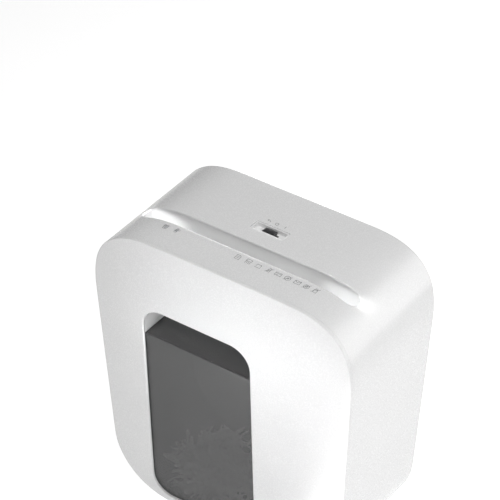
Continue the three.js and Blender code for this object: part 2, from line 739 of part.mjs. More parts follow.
function rollerBushes() {
  const sides = 14;
  const places = [
    ["front_left", FRONT_AXIS_Y, LEFT_PLATE_X],
    ["front_right", FRONT_AXIS_Y, RIGHT_PLATE_X],
    ["rear_left", REAR_AXIS_Y, LEFT_PLATE_X],
    ["rear_right", REAR_AXIS_Y, RIGHT_PLATE_X],
  ];
  return places.map(([name, y, x]) => {
    const inward = x < 0 ? 1 : -1;
    const barrel = rodX(y, NIP_Z, BUSH_RADIUS, x - PLATE_THICKNESS / 2, x + PLATE_THICKNESS / 2, sides);
    const collarStart = x + inward * (PLATE_THICKNESS / 2);
    const collarEnd = x + inward * BUSH_REACH;
    const from = Math.min(collarStart + inward * GAP, collarEnd);
    const to = Math.max(collarStart + inward * GAP, collarEnd);
    const collar = rodX(y, NIP_Z, BUSH_RADIUS + BUSH_COLLAR, from, to, sides);
    const neck = rodX(y, NIP_Z, BUSH_RADIUS, Math.min(x, collarEnd), Math.max(x, collarEnd), sides);
    const bore = rodX(y, NIP_Z, boreRadius(SHAFT_RADIUS, BUSH_CLEARANCE, sides), x - 9, x + 9, sides);
    const bush = join([barrel, collar, neck]).subtract(bore);
    return piece(`roller_bush_${name}`, bush, materials.bronze);
  });
}

function tieRods() {
  return TIE_RODS.map(([y, z], i) => {
    const inner0 = LEFT_PLATE_X + PLATE_THICKNESS / 2 + GAP;
    const inner1 = RIGHT_PLATE_X - PLATE_THICKNESS / 2 - GAP;
    const bar = rodX(y, z, TIE_RADIUS, inner0, inner1, 10);
    const ends = rodX(y, z, TIE_END.radius, inner0 - TIE_END.reach, inner1 + TIE_END.reach, 10);
    return piece(`tie_rod_${i + 1}`, bar.add(ends), materials.plated);
  });
}

const COMB = { clear: 1, bar: 3, tipClear: 0.6, sideClear: 0.8, halfHeight: 9, halfFinger: 6 };

function discStart(offset, i) {
  return -(DISC_COUNT * DISC_PITCH) / 2 + offset + i * DISC_PITCH;
}

// A comb is a bar outside a roller, with a finger between every two discs.
function stripperComb(name, axisY, outward, discOffset) {
  const rootY = axisY + outward * (DISC_RADIUS + COMB.clear);
  const tipY = axisY + outward * (SPACER_RADIUS + COMB.tipClear);
  const barY = rootY + outward * COMB.bar;
  const first = discStart(discOffset, 0) + DISC_WIDTH;
  const last = discStart(discOffset, DISC_COUNT - 1);
  const { halfHeight, halfFinger, sideClear } = COMB;
  const barFront = Math.min(rootY, barY);
  const bar = box(first, last, barFront, barFront + COMB.bar, NIP_Z - halfHeight, NIP_Z + halfHeight);
  const fingers = Array.from({ length: DISC_COUNT - 1 }, (_, i) => {
    const from = discStart(discOffset, i) + DISC_WIDTH + sideClear;
    const to = discStart(discOffset, i + 1) - sideClear;
    return box(from, to, Math.min(tipY, barY), Math.max(tipY, barY), NIP_Z - halfFinger, NIP_Z + halfFinger);
  });
  return piece(name, join([bar, ...fingers]), materials.dark);
}

// ---------------------------------------------------------------- cutters and gears
const FRONT_DISC_OFFSET = 0;
const REAR_DISC_OFFSET = DISC_PITCH / 2;
const SYNC_X = [-131, -123];
const FIRST_X = [119.5, 124];
const SECOND_X = [126, 131];
const FINAL_X = [133, 141];

function cutterRoller(name, axisY, discOffset, x0, x1) {
  const shaft = rodX(0, 0, SHAFT_RADIUS, x0, x1, 14);
  const coreFrom = LEFT_PLATE_X + BUSH_REACH + GAP;
  const coreTo = RIGHT_PLATE_X - BUSH_REACH - GAP;
  const core = rodX(0, 0, SPACER_RADIUS, coreFrom, coreTo, 8);
  const discs = Array.from({ length: DISC_COUNT }, (_, i) => {
    const from = discStart(discOffset, i);
    return rodX(0, 0, DISC_RADIUS, from, from + DISC_WIDTH, 12);
  });
  const roller = piece(name, join([core, shaft, ...discs]), materials.steel);
  roller.position.set(0, axisY, NIP_Z);
  return roller;
}

// Outline of a spur gear whose first tooth points along the first axis, turned by a phase.
function gearOutline(teeth, gearModule, phase) {
  const pitch = (2 * Math.PI) / teeth;
  const rootRadius = gearModule * (teeth / 2 - 1.2);
  const tipRadius = gearModule * (teeth / 2 + 0.85);
  const corners = [
    [-0.3, rootRadius],
    [-0.1, tipRadius],
    [0.1, tipRadius],
    [0.3, rootRadius],
  ];
  return Array.from({ length: teeth }, (_, i) =>
    corners.map(([share, radius]) => {
      const angle = phase + pitch * (i + share);
      return point(radius * Math.cos(angle), radius * Math.sin(angle));
    }),
  ).flat();
}

function gearSolid(teeth, gearModule, phase, [x0, x1]) {
  return prismX(gearOutline(teeth, gearModule, phase), x0, x1);
}

function bearing(from, to) {
  return Math.atan2(to.z - from.z, to.y - from.y);
}

// Phase that sets a gap of the follower on a tooth of its driver.
function meshed(bearingToDriver, teeth) {
  return bearingToDriver + Math.PI / teeth;
}

function placedGear(name, made, centre, material) {
  const gear = piece(name, made, material);
  gear.position.set(0, centre.y, centre.z);
  return gear;
}

const finalToSecond = bearing(finalCentre, secondCentre);
const secondToFirst = bearing(secondCentre, firstCentre);
const firstToMotor = bearing(firstCentre, MOTOR_AXIS);

function syncGear(name, centre, phase) {
  const bore = rodX(0, 0, SHAFT_RADIUS + GAP, SYNC_X[0] - 1, SYNC_X[1] + 1, 16);
  const gear = gearSolid(SYNC_TEETH, SYNC_MODULE, phase, SYNC_X).subtract(bore);
  return placedGear(name, gear, centre, materials.steel);
}

function finalGear() {
  const bore = rodX(0, 0, SHAFT_RADIUS + GAP, FINAL_X[0] - 1, FINAL_X[1] + 1, 16);
  const gear = gearSolid(FINAL_TEETH, FINAL_MODULE, finalToSecond, FINAL_X).subtract(bore);
  return placedGear("final_gear", gear, finalCentre, materials.steel);
}

function compoundGear(name, centre, wheel, small, smallReach) {
  const hub = rodX(0, 0, 5, Math.min(wheel.x[0], small.x[0]), Math.max(wheel.x[1], small.x[1]), 12);
  const smallX = [Math.min(small.x[0], smallReach), Math.max(small.x[1], smallReach)];
  const made = join([
    gearSolid(wheel.teeth, wheel.module, wheel.phase, wheel.x),
    gearSolid(SMALL_TEETH, small.module, small.phase, smallX),
    hub,
  ]);
  const bore = rodX(0, 0, boreRadius(AXLE_RADIUS, BUSH_CLEARANCE, 12), 100, 160, 12);
  return placedGear(name, made.subtract(bore), centre, materials.nylon);
}

function secondGear() {
  const wheel = { teeth: SECOND_TEETH, module: SECOND_MODULE, phase: secondToFirst, x: SECOND_X };
  const phase = meshed(finalToSecond + Math.PI, SMALL_TEETH);
  const small = { module: FINAL_MODULE, phase, x: FINAL_X };
  return compoundGear("second_gear", secondCentre, wheel, small, SECOND_X[1]);
}

function firstGear() {
  const wheel = { teeth: FIRST_TEETH, module: FIRST_MODULE, phase: firstToMotor, x: FIRST_X };
  const phase = meshed(secondToFirst + Math.PI, SMALL_TEETH);
  const small = { module: SECOND_MODULE, phase, x: SECOND_X };
  return compoundGear("first_gear", firstCentre, wheel, small, FIRST_X[1]);
}

function gearAxles() {
  const from = RIGHT_PLATE_X + PLATE_THICKNESS / 2 + GAP;
  const to = GEAR_PLATE_X - GAP;
  return [
    ["first_gear_axle", firstCentre],
    ["second_gear_axle", secondCentre],
  ].map(([name, centre]) => {
    const pin = rodX(centre.y, centre.z, AXLE_RADIUS, from, to, 12);
    return piece(name, pin, materials.plated);
  });
}

const GEAR_POST = { y: 68, z: 307, radius: 3 };
const GEAR_PLATE_THICKNESS = 2;

function gearPlate() {
  const outline = [
    point(-36, DECK_TOP_Z + GAP),
    point(76, DECK_TOP_Z + GAP),
    point(76, 340),
    point(64, 352),
    point(4, 352),
    point(-36, 336),
  ];
  let plate = prismX(outline, GEAR_PLATE_X, GEAR_PLATE_X + GEAR_PLATE_THICKNESS);
  plate = plate.subtract(rodX(finalCentre.y, finalCentre.z, SHAFT_RADIUS + 1, 140, 150, 16));
  return piece("gear_plate", plate, materials.steel);
}

function gearPost() {
  const from = RIGHT_PLATE_X + PLATE_THICKNESS / 2 + GAP;
  const post = rodX(GEAR_POST.y, GEAR_POST.z, GEAR_POST.radius, from, GEAR_PLATE_X - GAP, 10);
  return piece("gear_post_1", post, materials.plated);
}

// ---------------------------------------------------------------- motor and electrics
const CAN_X = [30, RIGHT_PLATE_X - PLATE_THICKNESS / 2 - GAP];
const BELL_X = [20, CAN_X[0] - GAP];
const FAN_X = [8, 16];
const FAN = { hub: 6, blades: 8, root: 4, reach: 20, half: 0.8 };
const MOTOR_SHAFT_RADIUS = 2.5;

function motorBody() {
  const { y, z } = MOTOR_AXIS;
  const bore = rodX(y, z, boreRadius(MOTOR_SHAFT_RADIUS, GAP, 12), 0, 130, 12);
  const can = rodX(y, z, MOTOR_RADIUS, CAN_X[0], CAN_X[1], 24).subtract(bore);
  const bell = rodX(y, z, MOTOR_RADIUS - 2, BELL_X[0], BELL_X[1], 20).subtract(bore);
  return [piece("motor_can", can, materials.plated), piece("motor_end_bell", bell, materials.dark)];
}

function motorRotor() {
  const shaft = rodX(0, 0, MOTOR_SHAFT_RADIUS, FAN_X[0] - 2, FIRST_X[1] + 1, 12);
  const hub = rodX(0, 0, FAN.hub, FAN_X[0], FAN_X[1], 12);
  const blades = Array.from({ length: FAN.blades }, (_, i) => {
    const blade = box(FAN_X[0] + 1, FAN_X[1], -FAN.half, FAN.half, FAN.root, FAN.reach);
    return blade.rotate([(i * 360) / FAN.blades, 0, 0]);
  });
  const bore = rodX(0, 0, MOTOR_SHAFT_RADIUS + GAP, 0, 150, 12);
  const phase = meshed(firstToMotor + Math.PI, PINION_TEETH);
  const pinion = gearSolid(PINION_TEETH, FIRST_MODULE, phase, FIRST_X).subtract(
    rodX(0, 0, MOTOR_SHAFT_RADIUS + 0.1, 100, 150, 12),
  );
  return [
    placedGear("motor_shaft", shaft, MOTOR_AXIS, materials.plated),
    placedGear("motor_fan", join([hub, ...blades]).subtract(bore), MOTOR_AXIS, materials.dark),
    placedGear("motor_pinion", pinion, MOTOR_AXIS, materials.bronze),
  ];
}

const BOARD_Z = 305;
const BOARD = { x0: -108, x1: -22, y0: 26, y1: 74 };
const BOARD_POSTS = [
  [BOARD.x0 + 6, BOARD.y0 + 6],
  [BOARD.x1 - 6, BOARD.y0 + 6],
  [BOARD.x0 + 6, BOARD.y1 - 6],
  [BOARD.x1 - 6, BOARD.y1 - 6],
];

function controlBoard() {
  const base = box(BOARD.x0, BOARD.x1, BOARD.y0, BOARD.y1, BOARD_Z, BOARD_Z + BOARD_THICKNESS);
  const parts = [
    box(-100, -82, 38, 56, BOARD_Z + 1, BOARD_Z + 17),
    box(-76, -62, 32, 60, BOARD_Z + 1, BOARD_Z + 21),
    box(-56, -46, 34, 44, BOARD_Z + 1, BOARD_Z + 13),
    box(-42, -28, 50, 56, BOARD_Z + 1, BOARD_Z + 11),
    rodZ(-38, 38, 5, BOARD_Z + 1, BOARD_Z + 18, 12),
    rodZ(-51, 58, 4, BOARD_Z + 1, BOARD_Z + 14, 12),
  ];
  return piece("control_board", join([base, ...parts]), materials.board);
}

const CAPACITOR = { y: 34, z: 312, radius: 9, x0: -14, x1: 4 };

function capacitor() {
  const { y, z, radius, x0, x1 } = CAPACITOR;
  return piece("motor_capacitor", rodX(y, z, radius, x0, x1, 16), materials.dark);
}

const LEAD_RADIUS = 2.4;

// The inner lead runs from the gland to the end of the control board.
function innerLead() {
  const startY = backY(GLAND.z) - REAR_RIM - GLAND.tail - GAP;
  const route = [
    new THREE.Vector3(GLAND.x, startY, GLAND.z),
    new THREE.Vector3(GLAND.x, startY - 8, GLAND.z),
    new THREE.Vector3(GLAND.x - 6, startY - 22, GLAND.z + 2),
    new THREE.Vector3(GLAND.x - 2, startY - 34, GLAND.z + 1),
    new THREE.Vector3(BOARD.x0 - 4, startY - 36, BOARD_Z + 5),
    new THREE.Vector3(BOARD.x0 + 3, startY - 36, BOARD_Z + 5),
  ];
  const path = new THREE.CatmullRomCurve3(route);
  const section = new THREE.Shape(arc(0, 0, LEAD_RADIUS, 0, 2 * Math.PI, 6).slice(0, 6));
  const tube = new THREE.ExtrudeGeometry(section, { steps: 14, bevelEnabled: false, extrudePath: path });
  return piece("inner_lead", solid(tube), materials.rubber);
}

function frameScrews() {
  return FRAME_SCREWS.map(([x, y], i) => {
    const screw = screwSolid(FRAME_SCREW.head, FRAME_SCREW.rise, SHANK_RADIUS, FRAME_SCREW.length);
    const named = piece(`frame_screw_${i + 1}`, screw.rotate([90, 0, 0]), materials.plated);
    named.position.set(x, y, DECK_TOP_Z + GAP + FLANGE_THICKNESS + 0.1);
    return named;
  });
}

// ---------------------------------------------------------------- pull-out bin
const FACE_RINGS = [1, 0.992, 0.85, 0.55];
const FACE_CENTRE_Z = 190;
const EDGE_CHAMFER = 0.8;

// A closed body whose front is a shallow dome over the body's outline.
function domedBody(inset, frontOffset, backOffset) {
  const outline = bodyOutline(inset);
  const count = outline.length;
  const rings = [{ share: 1, depth: backOffset }];
  for (const share of FACE_RINGS) {
    const edge = share === 1 ? EDGE_CHAMFER : 0;
    rings.push({ share, depth: frontOffset + edge - CROWN * (1 - share ** 2) });
  }
  const positions = rings.flatMap(({ share, depth }) =>
    outline.flatMap((p) => {
      const z = FACE_CENTRE_Z + (p.y - FACE_CENTRE_Z) * share;
      return [p.x * share, frontY(z) + depth, z];
    }),
  );
  const indices = [];
  for (let ring = 0; ring + 1 < rings.length; ring += 1) {
    for (let i = 0; i < count; i += 1) {
      const a = ring * count + i;
      const b = ring * count + ((i + 1) % count);
      indices.push(a, b, b + count, a, b + count, a + count);
    }
  }
  const caps = THREE.ShapeUtils.triangulateShape(outline, []);
  const last = (rings.length - 1) * count;
  for (const [a, b, c] of caps) {
    indices.push(c, b, a);
    indices.push(last + a, last + b, last + c);
  }
  return { positions, indices };
}

// The dome's flat back is cut true by the leaning slab behind it, so its cap needs no care.
function domedSolid(inset, frontOffset, backOffset) {
  const { positions, indices } = domedBody(inset, frontOffset, backOffset + 12);
  const geometry = new THREE.BufferGeometry();
  geometry.setAttribute("position", new THREE.Float32BufferAttribute(positions, 3));
  geometry.setIndex(indices);
  return solid(geometry).intersect(behindFront(-20, backOffset));
}

function binFront() {
  const outer = domedSolid(0, 0, PANEL_RIM);
  const hollow = domedSolid(PANEL_SKIN, PANEL_SKIN, PANEL_RIM + 1);
  const collar = prismY(windowOutline(2), -DEPTH, 0).intersect(behindFront(-1, PANEL_SKIN));
  const cut = prismY(windowOutline(), -DEPTH, 0);
  const { x, z } = INTERLOCK;
  const striker = rodY(x, z, STRIKER_RADIUS, FRONT_Y, FRONT_Y + PANEL_RIM, 12);
  const front = outer.subtract(hollow).add(collar.intersect(outer)).add(striker).subtract(cut);
  return piece("bin_front", front, materials.white);
}

function binWindow() {
  const paneFront = PANEL_SKIN + GAP;
  const below = box(-WIDTH, WIDTH, -DEPTH, DEPTH, 0, SHELF_Z);
  const pane = prismY(windowOutline(WINDOW_LAP), -DEPTH, 0)
    .intersect(behindFront(paneFront, PANE_BACK))
    .intersect(below);
  const level = box(-WIDTH, WIDTH, -DEPTH, DEPTH, SHELF_Z - SHELF_THICKNESS, SHELF_Z);
  const shelf = prismY(windowOutline(WINDOW_LAP), -DEPTH, DEPTH)
    .intersect(behindFront(paneFront, RECESS_DEPTH + RECESS_WALL))
    .intersect(level);
  return piece("bin_window", pane.add(shelf), materials.smoke);
}

function fingerRecess() {
  const front = PANEL_SKIN + GAP;
  const above = box(-WIDTH, WIDTH, -DEPTH, DEPTH, SHELF_Z + GAP, TOP_Z);
  const outer = prismY(windowOutline(RECESS_WALL), -DEPTH, DEPTH).intersect(
    behindFront(front, RECESS_DEPTH + RECESS_WALL),
  );
  const hollow = prismY(windowOutline(), -DEPTH, DEPTH).intersect(behindFront(front - 1, RECESS_DEPTH));
  return piece("finger_recess", outer.subtract(hollow).intersect(above), materials.innerWhite);
}

const RUNNER = { x: 48, half: 3, reach: 58 };

function binTub() {
  const front = PANE_BACK + GAP;
  const outer = prismY(bodyOutline(WALL + TUB_CLEARANCE), -DEPTH, TUB_BACK_Y)
    .intersect(behindFront(front, DEPTH))
    .intersect(box(-WIDTH, WIDTH, -DEPTH, DEPTH, 0, TUB_TOP_Z));
  const inner = bodyOutline(WALL + TUB_CLEARANCE + TUB_WALL);
  const cavity = prismY(inner, -DEPTH, TUB_BACK_Y - TUB_WALL).intersect(
    behindFront(front + TUB_WALL, DEPTH),
  );
  const sight = prismY(windowOutline(-1), -DEPTH, 0);
  const floorZ = BOTTOM_Z + WALL + TUB_CLEARANCE;
  const { x: runnerX, half, reach } = RUNNER;
  const runners = [-runnerX, runnerX].map((x) =>
    box(x - half, x + half, -reach, reach, BOTTOM_Z + WALL + GAP, floorZ + 1),
  );
  const tub = join([outer.subtract(cavity).subtract(sight), ...runners]);
  return piece("bin_tub", tub, materials.smoke);
}

// ---------------------------------------------------------------- assembly
const housing = group(
  housingWrap(),
  rearCover(),
  ...rearScrews(),
  cordGland(),
  ...feet(),
  slotThroat(),
  switchBezel(),
  switchBody(),
  ...indicatorLenses(),
  indicatorBoard(),
  headDeck(),
  headBulkhead(),
  interlockSwitch(),
);

const cutterHead = group(
  leftPlate(),
  rightPlate(),
  ...rollerBushes(),
  ...tieRods(),
  stripperComb("stripper_comb_front", FRONT_AXIS_Y, -1, FRONT_DISC_OFFSET),
  stripperComb("stripper_comb_rear", REAR_AXIS_Y, 1, REAR_DISC_OFFSET),
  ...gearAxles(),
  gearPlate(),
  gearPost(),
  ...frameScrews(),
  ...motorBody(),
);

const drive = group(
  cutterRoller("cutter_roller_front", FRONT_AXIS_Y, FRONT_DISC_OFFSET, -133, 122),
  cutterRoller("cutter_roller_rear", REAR_AXIS_Y, REAR_DISC_OFFSET, -133, 142.5),
  syncGear("sync_gear_front", { y: FRONT_AXIS_Y, z: NIP_Z }, 0),
  syncGear("sync_gear_rear", { y: REAR_AXIS_Y, z: NIP_Z }, meshed(Math.PI, SYNC_TEETH)),
  finalGear(),
  secondGear(),
  firstGear(),
  ...motorRotor(),
);

const controls = group(paperFlag(), switchKnob(), interlockPlunger());
const electrics = group(controlBoard(), capacitor(), innerLead());
const bin = group(binFront(), binWindow(), fingerRecess(), binTub());

export default group(housing, cutterHead, drive, controls, electrics, bin);
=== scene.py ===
"""A desk-side paper shredder with a pull-out waste bin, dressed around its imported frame.

Every length is in metres, +Z is up and the front faces -Y. Thin shells are drawn flat, as a sheet
with its holes and lips, then cut into narrow strips and laid on the body's curved surface.
"""

import json
import logging
import math
import random
from dataclasses import dataclass
from enum import Enum
from typing import Callable, Sequence

import bmesh
import bpy
from mathutils import Matrix, Quaternion, Vector


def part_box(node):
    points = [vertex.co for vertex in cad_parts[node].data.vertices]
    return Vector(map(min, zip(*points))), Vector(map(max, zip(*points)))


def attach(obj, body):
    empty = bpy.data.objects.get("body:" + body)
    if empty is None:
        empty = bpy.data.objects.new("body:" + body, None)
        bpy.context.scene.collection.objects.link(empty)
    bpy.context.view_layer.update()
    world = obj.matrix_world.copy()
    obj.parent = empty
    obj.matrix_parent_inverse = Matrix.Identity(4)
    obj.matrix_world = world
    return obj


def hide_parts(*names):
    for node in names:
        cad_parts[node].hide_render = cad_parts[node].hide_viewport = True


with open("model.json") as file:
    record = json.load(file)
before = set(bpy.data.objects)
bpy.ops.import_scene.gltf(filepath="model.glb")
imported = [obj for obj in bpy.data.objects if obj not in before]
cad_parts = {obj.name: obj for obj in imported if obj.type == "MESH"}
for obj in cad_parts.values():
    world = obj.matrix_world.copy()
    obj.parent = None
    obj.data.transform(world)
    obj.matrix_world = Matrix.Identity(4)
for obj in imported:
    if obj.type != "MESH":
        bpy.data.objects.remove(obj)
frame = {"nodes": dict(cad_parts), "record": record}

LOG = logging.getLogger("paper_shredder")
RIGHT = Vector((1.0, 0.0, 0.0))
UP = Vector((0.0, 0.0, 1.0))
FRONTWARD = Vector((0.0, -1.0, 0.0))
BACKWARD = Vector((0.0, 1.0, 0.0))
WELD = 2e-6
INK_HEIGHT = 0.00006

Ring = list[bmesh.types.BMVert]
Point = tuple[float, float]


class Body(Enum):
    """The bodies of the frame that pieces ride on."""

    HOUSING = "housing"
    BIN = "bin"
    REAR_CUTTER = "rear_cutter"
    FRONT_CUTTER = "front_cutter"
    KNOB = "mode_knob"
    FLAG = "paper_flag_lever"
    ROTOR = "motor_rotor"


class Slot(Enum):
    """The record's material slots."""

    WHITE_SHELL = "white_shell"
    WHITE_TRIM = "white_trim"
    PALE_INNER = "pale_inner"
    SMOKE = "smoke_plastic"
    DARK = "dark_plastic"
    RUBBER = "black_rubber"
    PLATE = "plate_steel"
    CUTTER = "cutter_steel"
    GEAR = "gear_steel"
    ZINC = "zinc_steel"
    BRONZE = "bronze"
    NYLON = "nylon"
    MOTOR = "motor_steel"
    BOARD = "circuit_board"
    CAPACITOR = "capacitor_case"
    LENS = "clear_lens"


# ---------------------------------------------------------------- finishes


@dataclass(frozen=True)
class Finish:
    """A procedural finish: a colour that drifts a little, a grain, and how they take the light.

    Args:
        colour: linear base colour.
        roughness: middle roughness.
        metallic: 0 for plastics and rubber, 1 for metals.
        alpha: 1 is opaque.
        drift: share by which the colour varies over the surface.
        drift_scale: patches of colour per metre.
        spread: how far the roughness varies either way.
        grain_scale: grains per metre.
        grain_depth: height of the grain in metres.
        stretch: scale of the grain along each axis, for brushed and drawn metal.
        ior: index of refraction.
    """

    colour: tuple[float, float, float]
    roughness: float
    metallic: float = 0.0
    alpha: float = 1.0
    drift: float = 0.02
    drift_scale: float = 14.0
    spread: float = 0.03
    grain_scale: float = 900.0
    grain_depth: float = 0.00001
    stretch: tuple[float, float, float] = (1.0, 1.0, 1.0)
    ior: float = 1.47

    def material(self, name: str) -> bpy.types.Material:
        """Builds the finish as a node material.

        Args:
            name: name of the new material.

        Returns:
            The material.
        """
        made = bpy.data.materials.new(name)
        made.use_nodes = True
        nodes = made.node_tree.nodes
        links = made.node_tree.links
        shader = nodes["Principled BSDF"]
        shader.inputs["Metallic"].default_value = self.metallic
        shader.inputs["IOR"].default_value = self.ior
        shader.inputs["Alpha"].default_value = self.alpha
        place = nodes.new("ShaderNodeTexCoord")
        stretched = nodes.new("ShaderNodeMapping")
        stretched.inputs["Scale"].default_value = self.stretch
        links.new(place.outputs["Object"], stretched.inputs["Vector"])
        drift = self.noise(made, place.outputs["Object"], self.drift_scale, 2.0)
        grain = self.noise(made, stretched.outputs["Vector"], self.grain_scale, 3.0)
        links.new(self.tint(made, drift), shader.inputs["Base Color"])
        worn = nodes.new("ShaderNodeMapRange")
        worn.inputs["From Min"].default_value = 0.3
        worn.inputs["From Max"].default_value = 0.7
        worn.inputs["To Min"].default_value = max(0.02, self.roughness - self.spread)
        worn.inputs["To Max"].default_value = self.roughness + self.spread
        links.new(grain, worn.inputs["Value"])
        links.new(worn.outputs["Result"], shader.inputs["Roughness"])
        bump = nodes.new("ShaderNodeBump")
        bump.inputs["Distance"].default_value = self.grain_depth
        links.new(grain, bump.inputs["Height"])
        links.new(bump.outputs["Normal"], shader.inputs["Normal"])
        return made

    def noise(
        self,
        made: bpy.types.Material,
        vector: bpy.types.NodeSocket,
        scale: float,
        detail: float,
    ) -> bpy.types.NodeSocket:
        """Adds a noise texture.

        Args:
            made: material that takes the node.
            vector: place to read.
            scale: patches per metre.
            detail: octaves of noise.

        Returns:
            The noise value's socket.
        """
        node = made.node_tree.nodes.new("ShaderNodeTexNoise")
        node.inputs["Scale"].default_value = scale
        node.inputs["Detail"].default_value = detail
        made.node_tree.links.new(vector, node.inputs["Vector"])
        return node.outputs["Fac"]

    def tint(self, made: bpy.types.Material, share: bpy.types.NodeSocket) -> bpy.types.NodeSocket:
        """Adds the ramp that turns a value into the finish's colours.

        Args:
            made: material that takes the node.
            share: value that picks the colour.

        Returns:
            The colour's socket.
        """
        ramp = made.node_tree.nodes.new("ShaderNodeValToRGB")
        low, high = ramp.color_ramp.elements
        low.position, high.position = 0.3, 0.7
        low.color = (*[c * (1.0 - self.drift) for c in self.colour], 1.0)
        high.color = (*[min(1.0, c * (1.0 + self.drift)) for c in self.colour], 1.0)
        made.node_tree.links.new(share, ramp.inputs["Fac"])
        return ramp.outputs["Color"]


@dataclass(frozen=True)
class BoardFinish(Finish):
    """Solder mask with paler copper tracks under it."""

    track_scale: float = 190.0

    def tint(self, made: bpy.types.Material, share: bpy.types.NodeSocket) -> bpy.types.NodeSocket:
        """Mixes a net of tracks over the drifting green.

        Args:
            made: material that takes the nodes.
            share: value that picks the ground colour.

        Returns:
            The colour's socket.
        """
        ground = super().tint(made, share)
        nodes = made.node_tree.nodes
        links = made.node_tree.links
        place = nodes.new("ShaderNodeTexCoord")
        bricks = nodes.new("ShaderNodeTexBrick")
        bricks.inputs["Scale"].default_value = self.track_scale
        bricks.inputs["Mortar Size"].default_value = 0.06
        bricks.inputs["Mortar"].default_value = (0.10, 0.33, 0.16, 1.0)
        links.new(place.outputs["Object"], bricks.inputs["Vector"])
        links.new(ground, bricks.inputs["Color1"])
        links.new(ground, bricks.inputs["Color2"])
        return bricks.outputs["Color"]


FINISHES: dict[Slot, Finish] = {
    Slot.WHITE_SHELL: Finish((0.80, 0.80, 0.80), 0.27, drift=0.012, spread=0.02, grain_depth=0.000004),
    # The trim is its own white, but it is set a little paler than the shell as painted light, so that the
    # shaded inside of the paper slot reads brighter.
    Slot.WHITE_TRIM: Finish((0.86, 0.86, 0.86), 0.22, drift=0.012, grain_depth=0.000006),
    Slot.PALE_INNER: Finish((0.55, 0.555, 0.56), 0.5, grain_scale=1600.0, grain_depth=0.00002),
    Slot.SMOKE: Finish((0.142, 0.142, 0.143), 0.14, alpha=0.55, drift=0.04, spread=0.02),
    Slot.DARK: Finish((0.045, 0.045, 0.048), 0.48, grain_scale=1500.0, grain_depth=0.00003, spread=0.08),
    Slot.RUBBER: Finish((0.018, 0.018, 0.018), 0.78, drift=0.15, grain_scale=1200.0, grain_depth=0.00005),
    Slot.PLATE: Finish((0.50, 0.51, 0.52), 0.36, 1.0, drift=0.07, stretch=(1.0, 1.0, 0.04), spread=0.09),
    Slot.CUTTER: Finish((0.36, 0.36, 0.37), 0.28, 1.0, drift=0.12, stretch=(0.05, 1.0, 1.0), spread=0.1),
    Slot.GEAR: Finish((0.29, 0.29, 0.30), 0.45, 1.0, drift=0.15, grain_scale=2200.0, grain_depth=0.00004),
    Slot.ZINC: Finish((0.62, 0.63, 0.65), 0.24, 1.0, drift=0.06, spread=0.07),
    Slot.BRONZE: Finish((0.50, 0.31, 0.13), 0.38, 1.0, drift=0.14, grain_scale=2600.0, grain_depth=0.00003),
    Slot.NYLON: Finish((0.70, 0.67, 0.58), 0.42, drift=0.05, grain_depth=0.00001),
    Slot.MOTOR: Finish((0.48, 0.49, 0.50), 0.33, 1.0, drift=0.06, stretch=(0.04, 1.0, 1.0), spread=0.08),
    Slot.BOARD: BoardFinish((0.020, 0.115, 0.050), 0.4, drift=0.1, grain_depth=0.00003),
    Slot.CAPACITOR: Finish((0.022, 0.026, 0.045), 0.25, drift=0.1),
    Slot.LENS: Finish((0.74, 0.76, 0.78), 0.2, alpha=0.97, drift=0.03),
}

PRINT_INK = Finish((0.10, 0.10, 0.105), 0.45, drift=0.12, drift_scale=300.0)
PAPER = Finish((0.74, 0.74, 0.73), 0.75, drift=0.06, drift_scale=60.0, grain_scale=2500.0)
FLOOR = Finish((0.93, 0.93, 0.93), 0.6, drift=0.006, drift_scale=1.5, grain_scale=200.0)


class Palette:
    """Makes each finish's material once and hands it out."""

    def __init__(self) -> None:
        """Starts with no material made."""
        self.made: dict[str, bpy.types.Material] = {}

    def get(self, finish: Finish, name: str) -> bpy.types.Material:
        """Returns the material of a finish.

        Args:
            finish: the finish.
            name: the material's name, which is also its key.

        Returns:
            The material, made at the first call.
        """
        if name not in self.made:
            self.made[name] = finish.material(name)
        return self.made[name]

    def slot(self, slot: Slot) -> bpy.types.Material:
        """Returns the material of one of the record's slots."""
        return self.get(FINISHES[slot], slot.value)


PALETTE = Palette()


# ---------------------------------------------------------------- mesh tools


def arc(centre: Point, radius: float, start: float, end: float, steps: int) -> list[Point]:
    """Points along an arc.

    Args:
        centre: centre of the arc.
        radius: radius of the arc.
        start: first angle, in radians.
        end: last angle, in radians.
        steps: number of stretches.

    Returns:
        steps + 1 points.
    """
    angles = [start + (end - start) * i / steps for i in range(steps + 1)]
    return [(centre[0] + radius * math.cos(a), centre[1] + radius * math.sin(a)) for a in angles]


def rounded_box(centre: Point, length: float, width: float, radius: float, steps: int = 6) -> list[Point]:
    """Outline of a rectangle with round corners, or of a slot when the radius is half its width.

    Args:
        centre: middle of the rectangle.
        length: size along the first axis.
        width: size along the second axis.
        radius: corner radius.
        steps: stretches in each corner.

    Returns:
        The points, counter-clockwise.
    """
    across = length / 2 - radius
    along = width / 2 - radius
    turns = [(across, -along, -0.5), (across, along, 0.0), (-across, along, 0.5), (-across, -along, 1.0)]
    points: list[Point] = []
    for dx, dy, turn in turns:
        corner = (centre[0] + dx, centre[1] + dy)
        points += arc(corner, radius, turn * math.pi, (turn + 0.5) * math.pi, steps)
    return [p for p, q in zip(points, points[1:] + points[:1]) if math.dist(p, q) > WELD]


def circle(centre: Point, radius: float, steps: int = 32) -> list[Point]:
    """Outline of a circle."""
    return arc(centre, radius, 0.0, 2.0 * math.pi, steps)[:-1]


def ring_edges(ring: Ring) -> list[bmesh.types.BMEdge]:
    """The edges between the vertices of a closed ring."""
    found = []
    for a, b in zip(ring, ring[1:] + ring[:1]):
        found.append(next(e for e in a.link_edges if e.other_vert(a) is b))
    return found


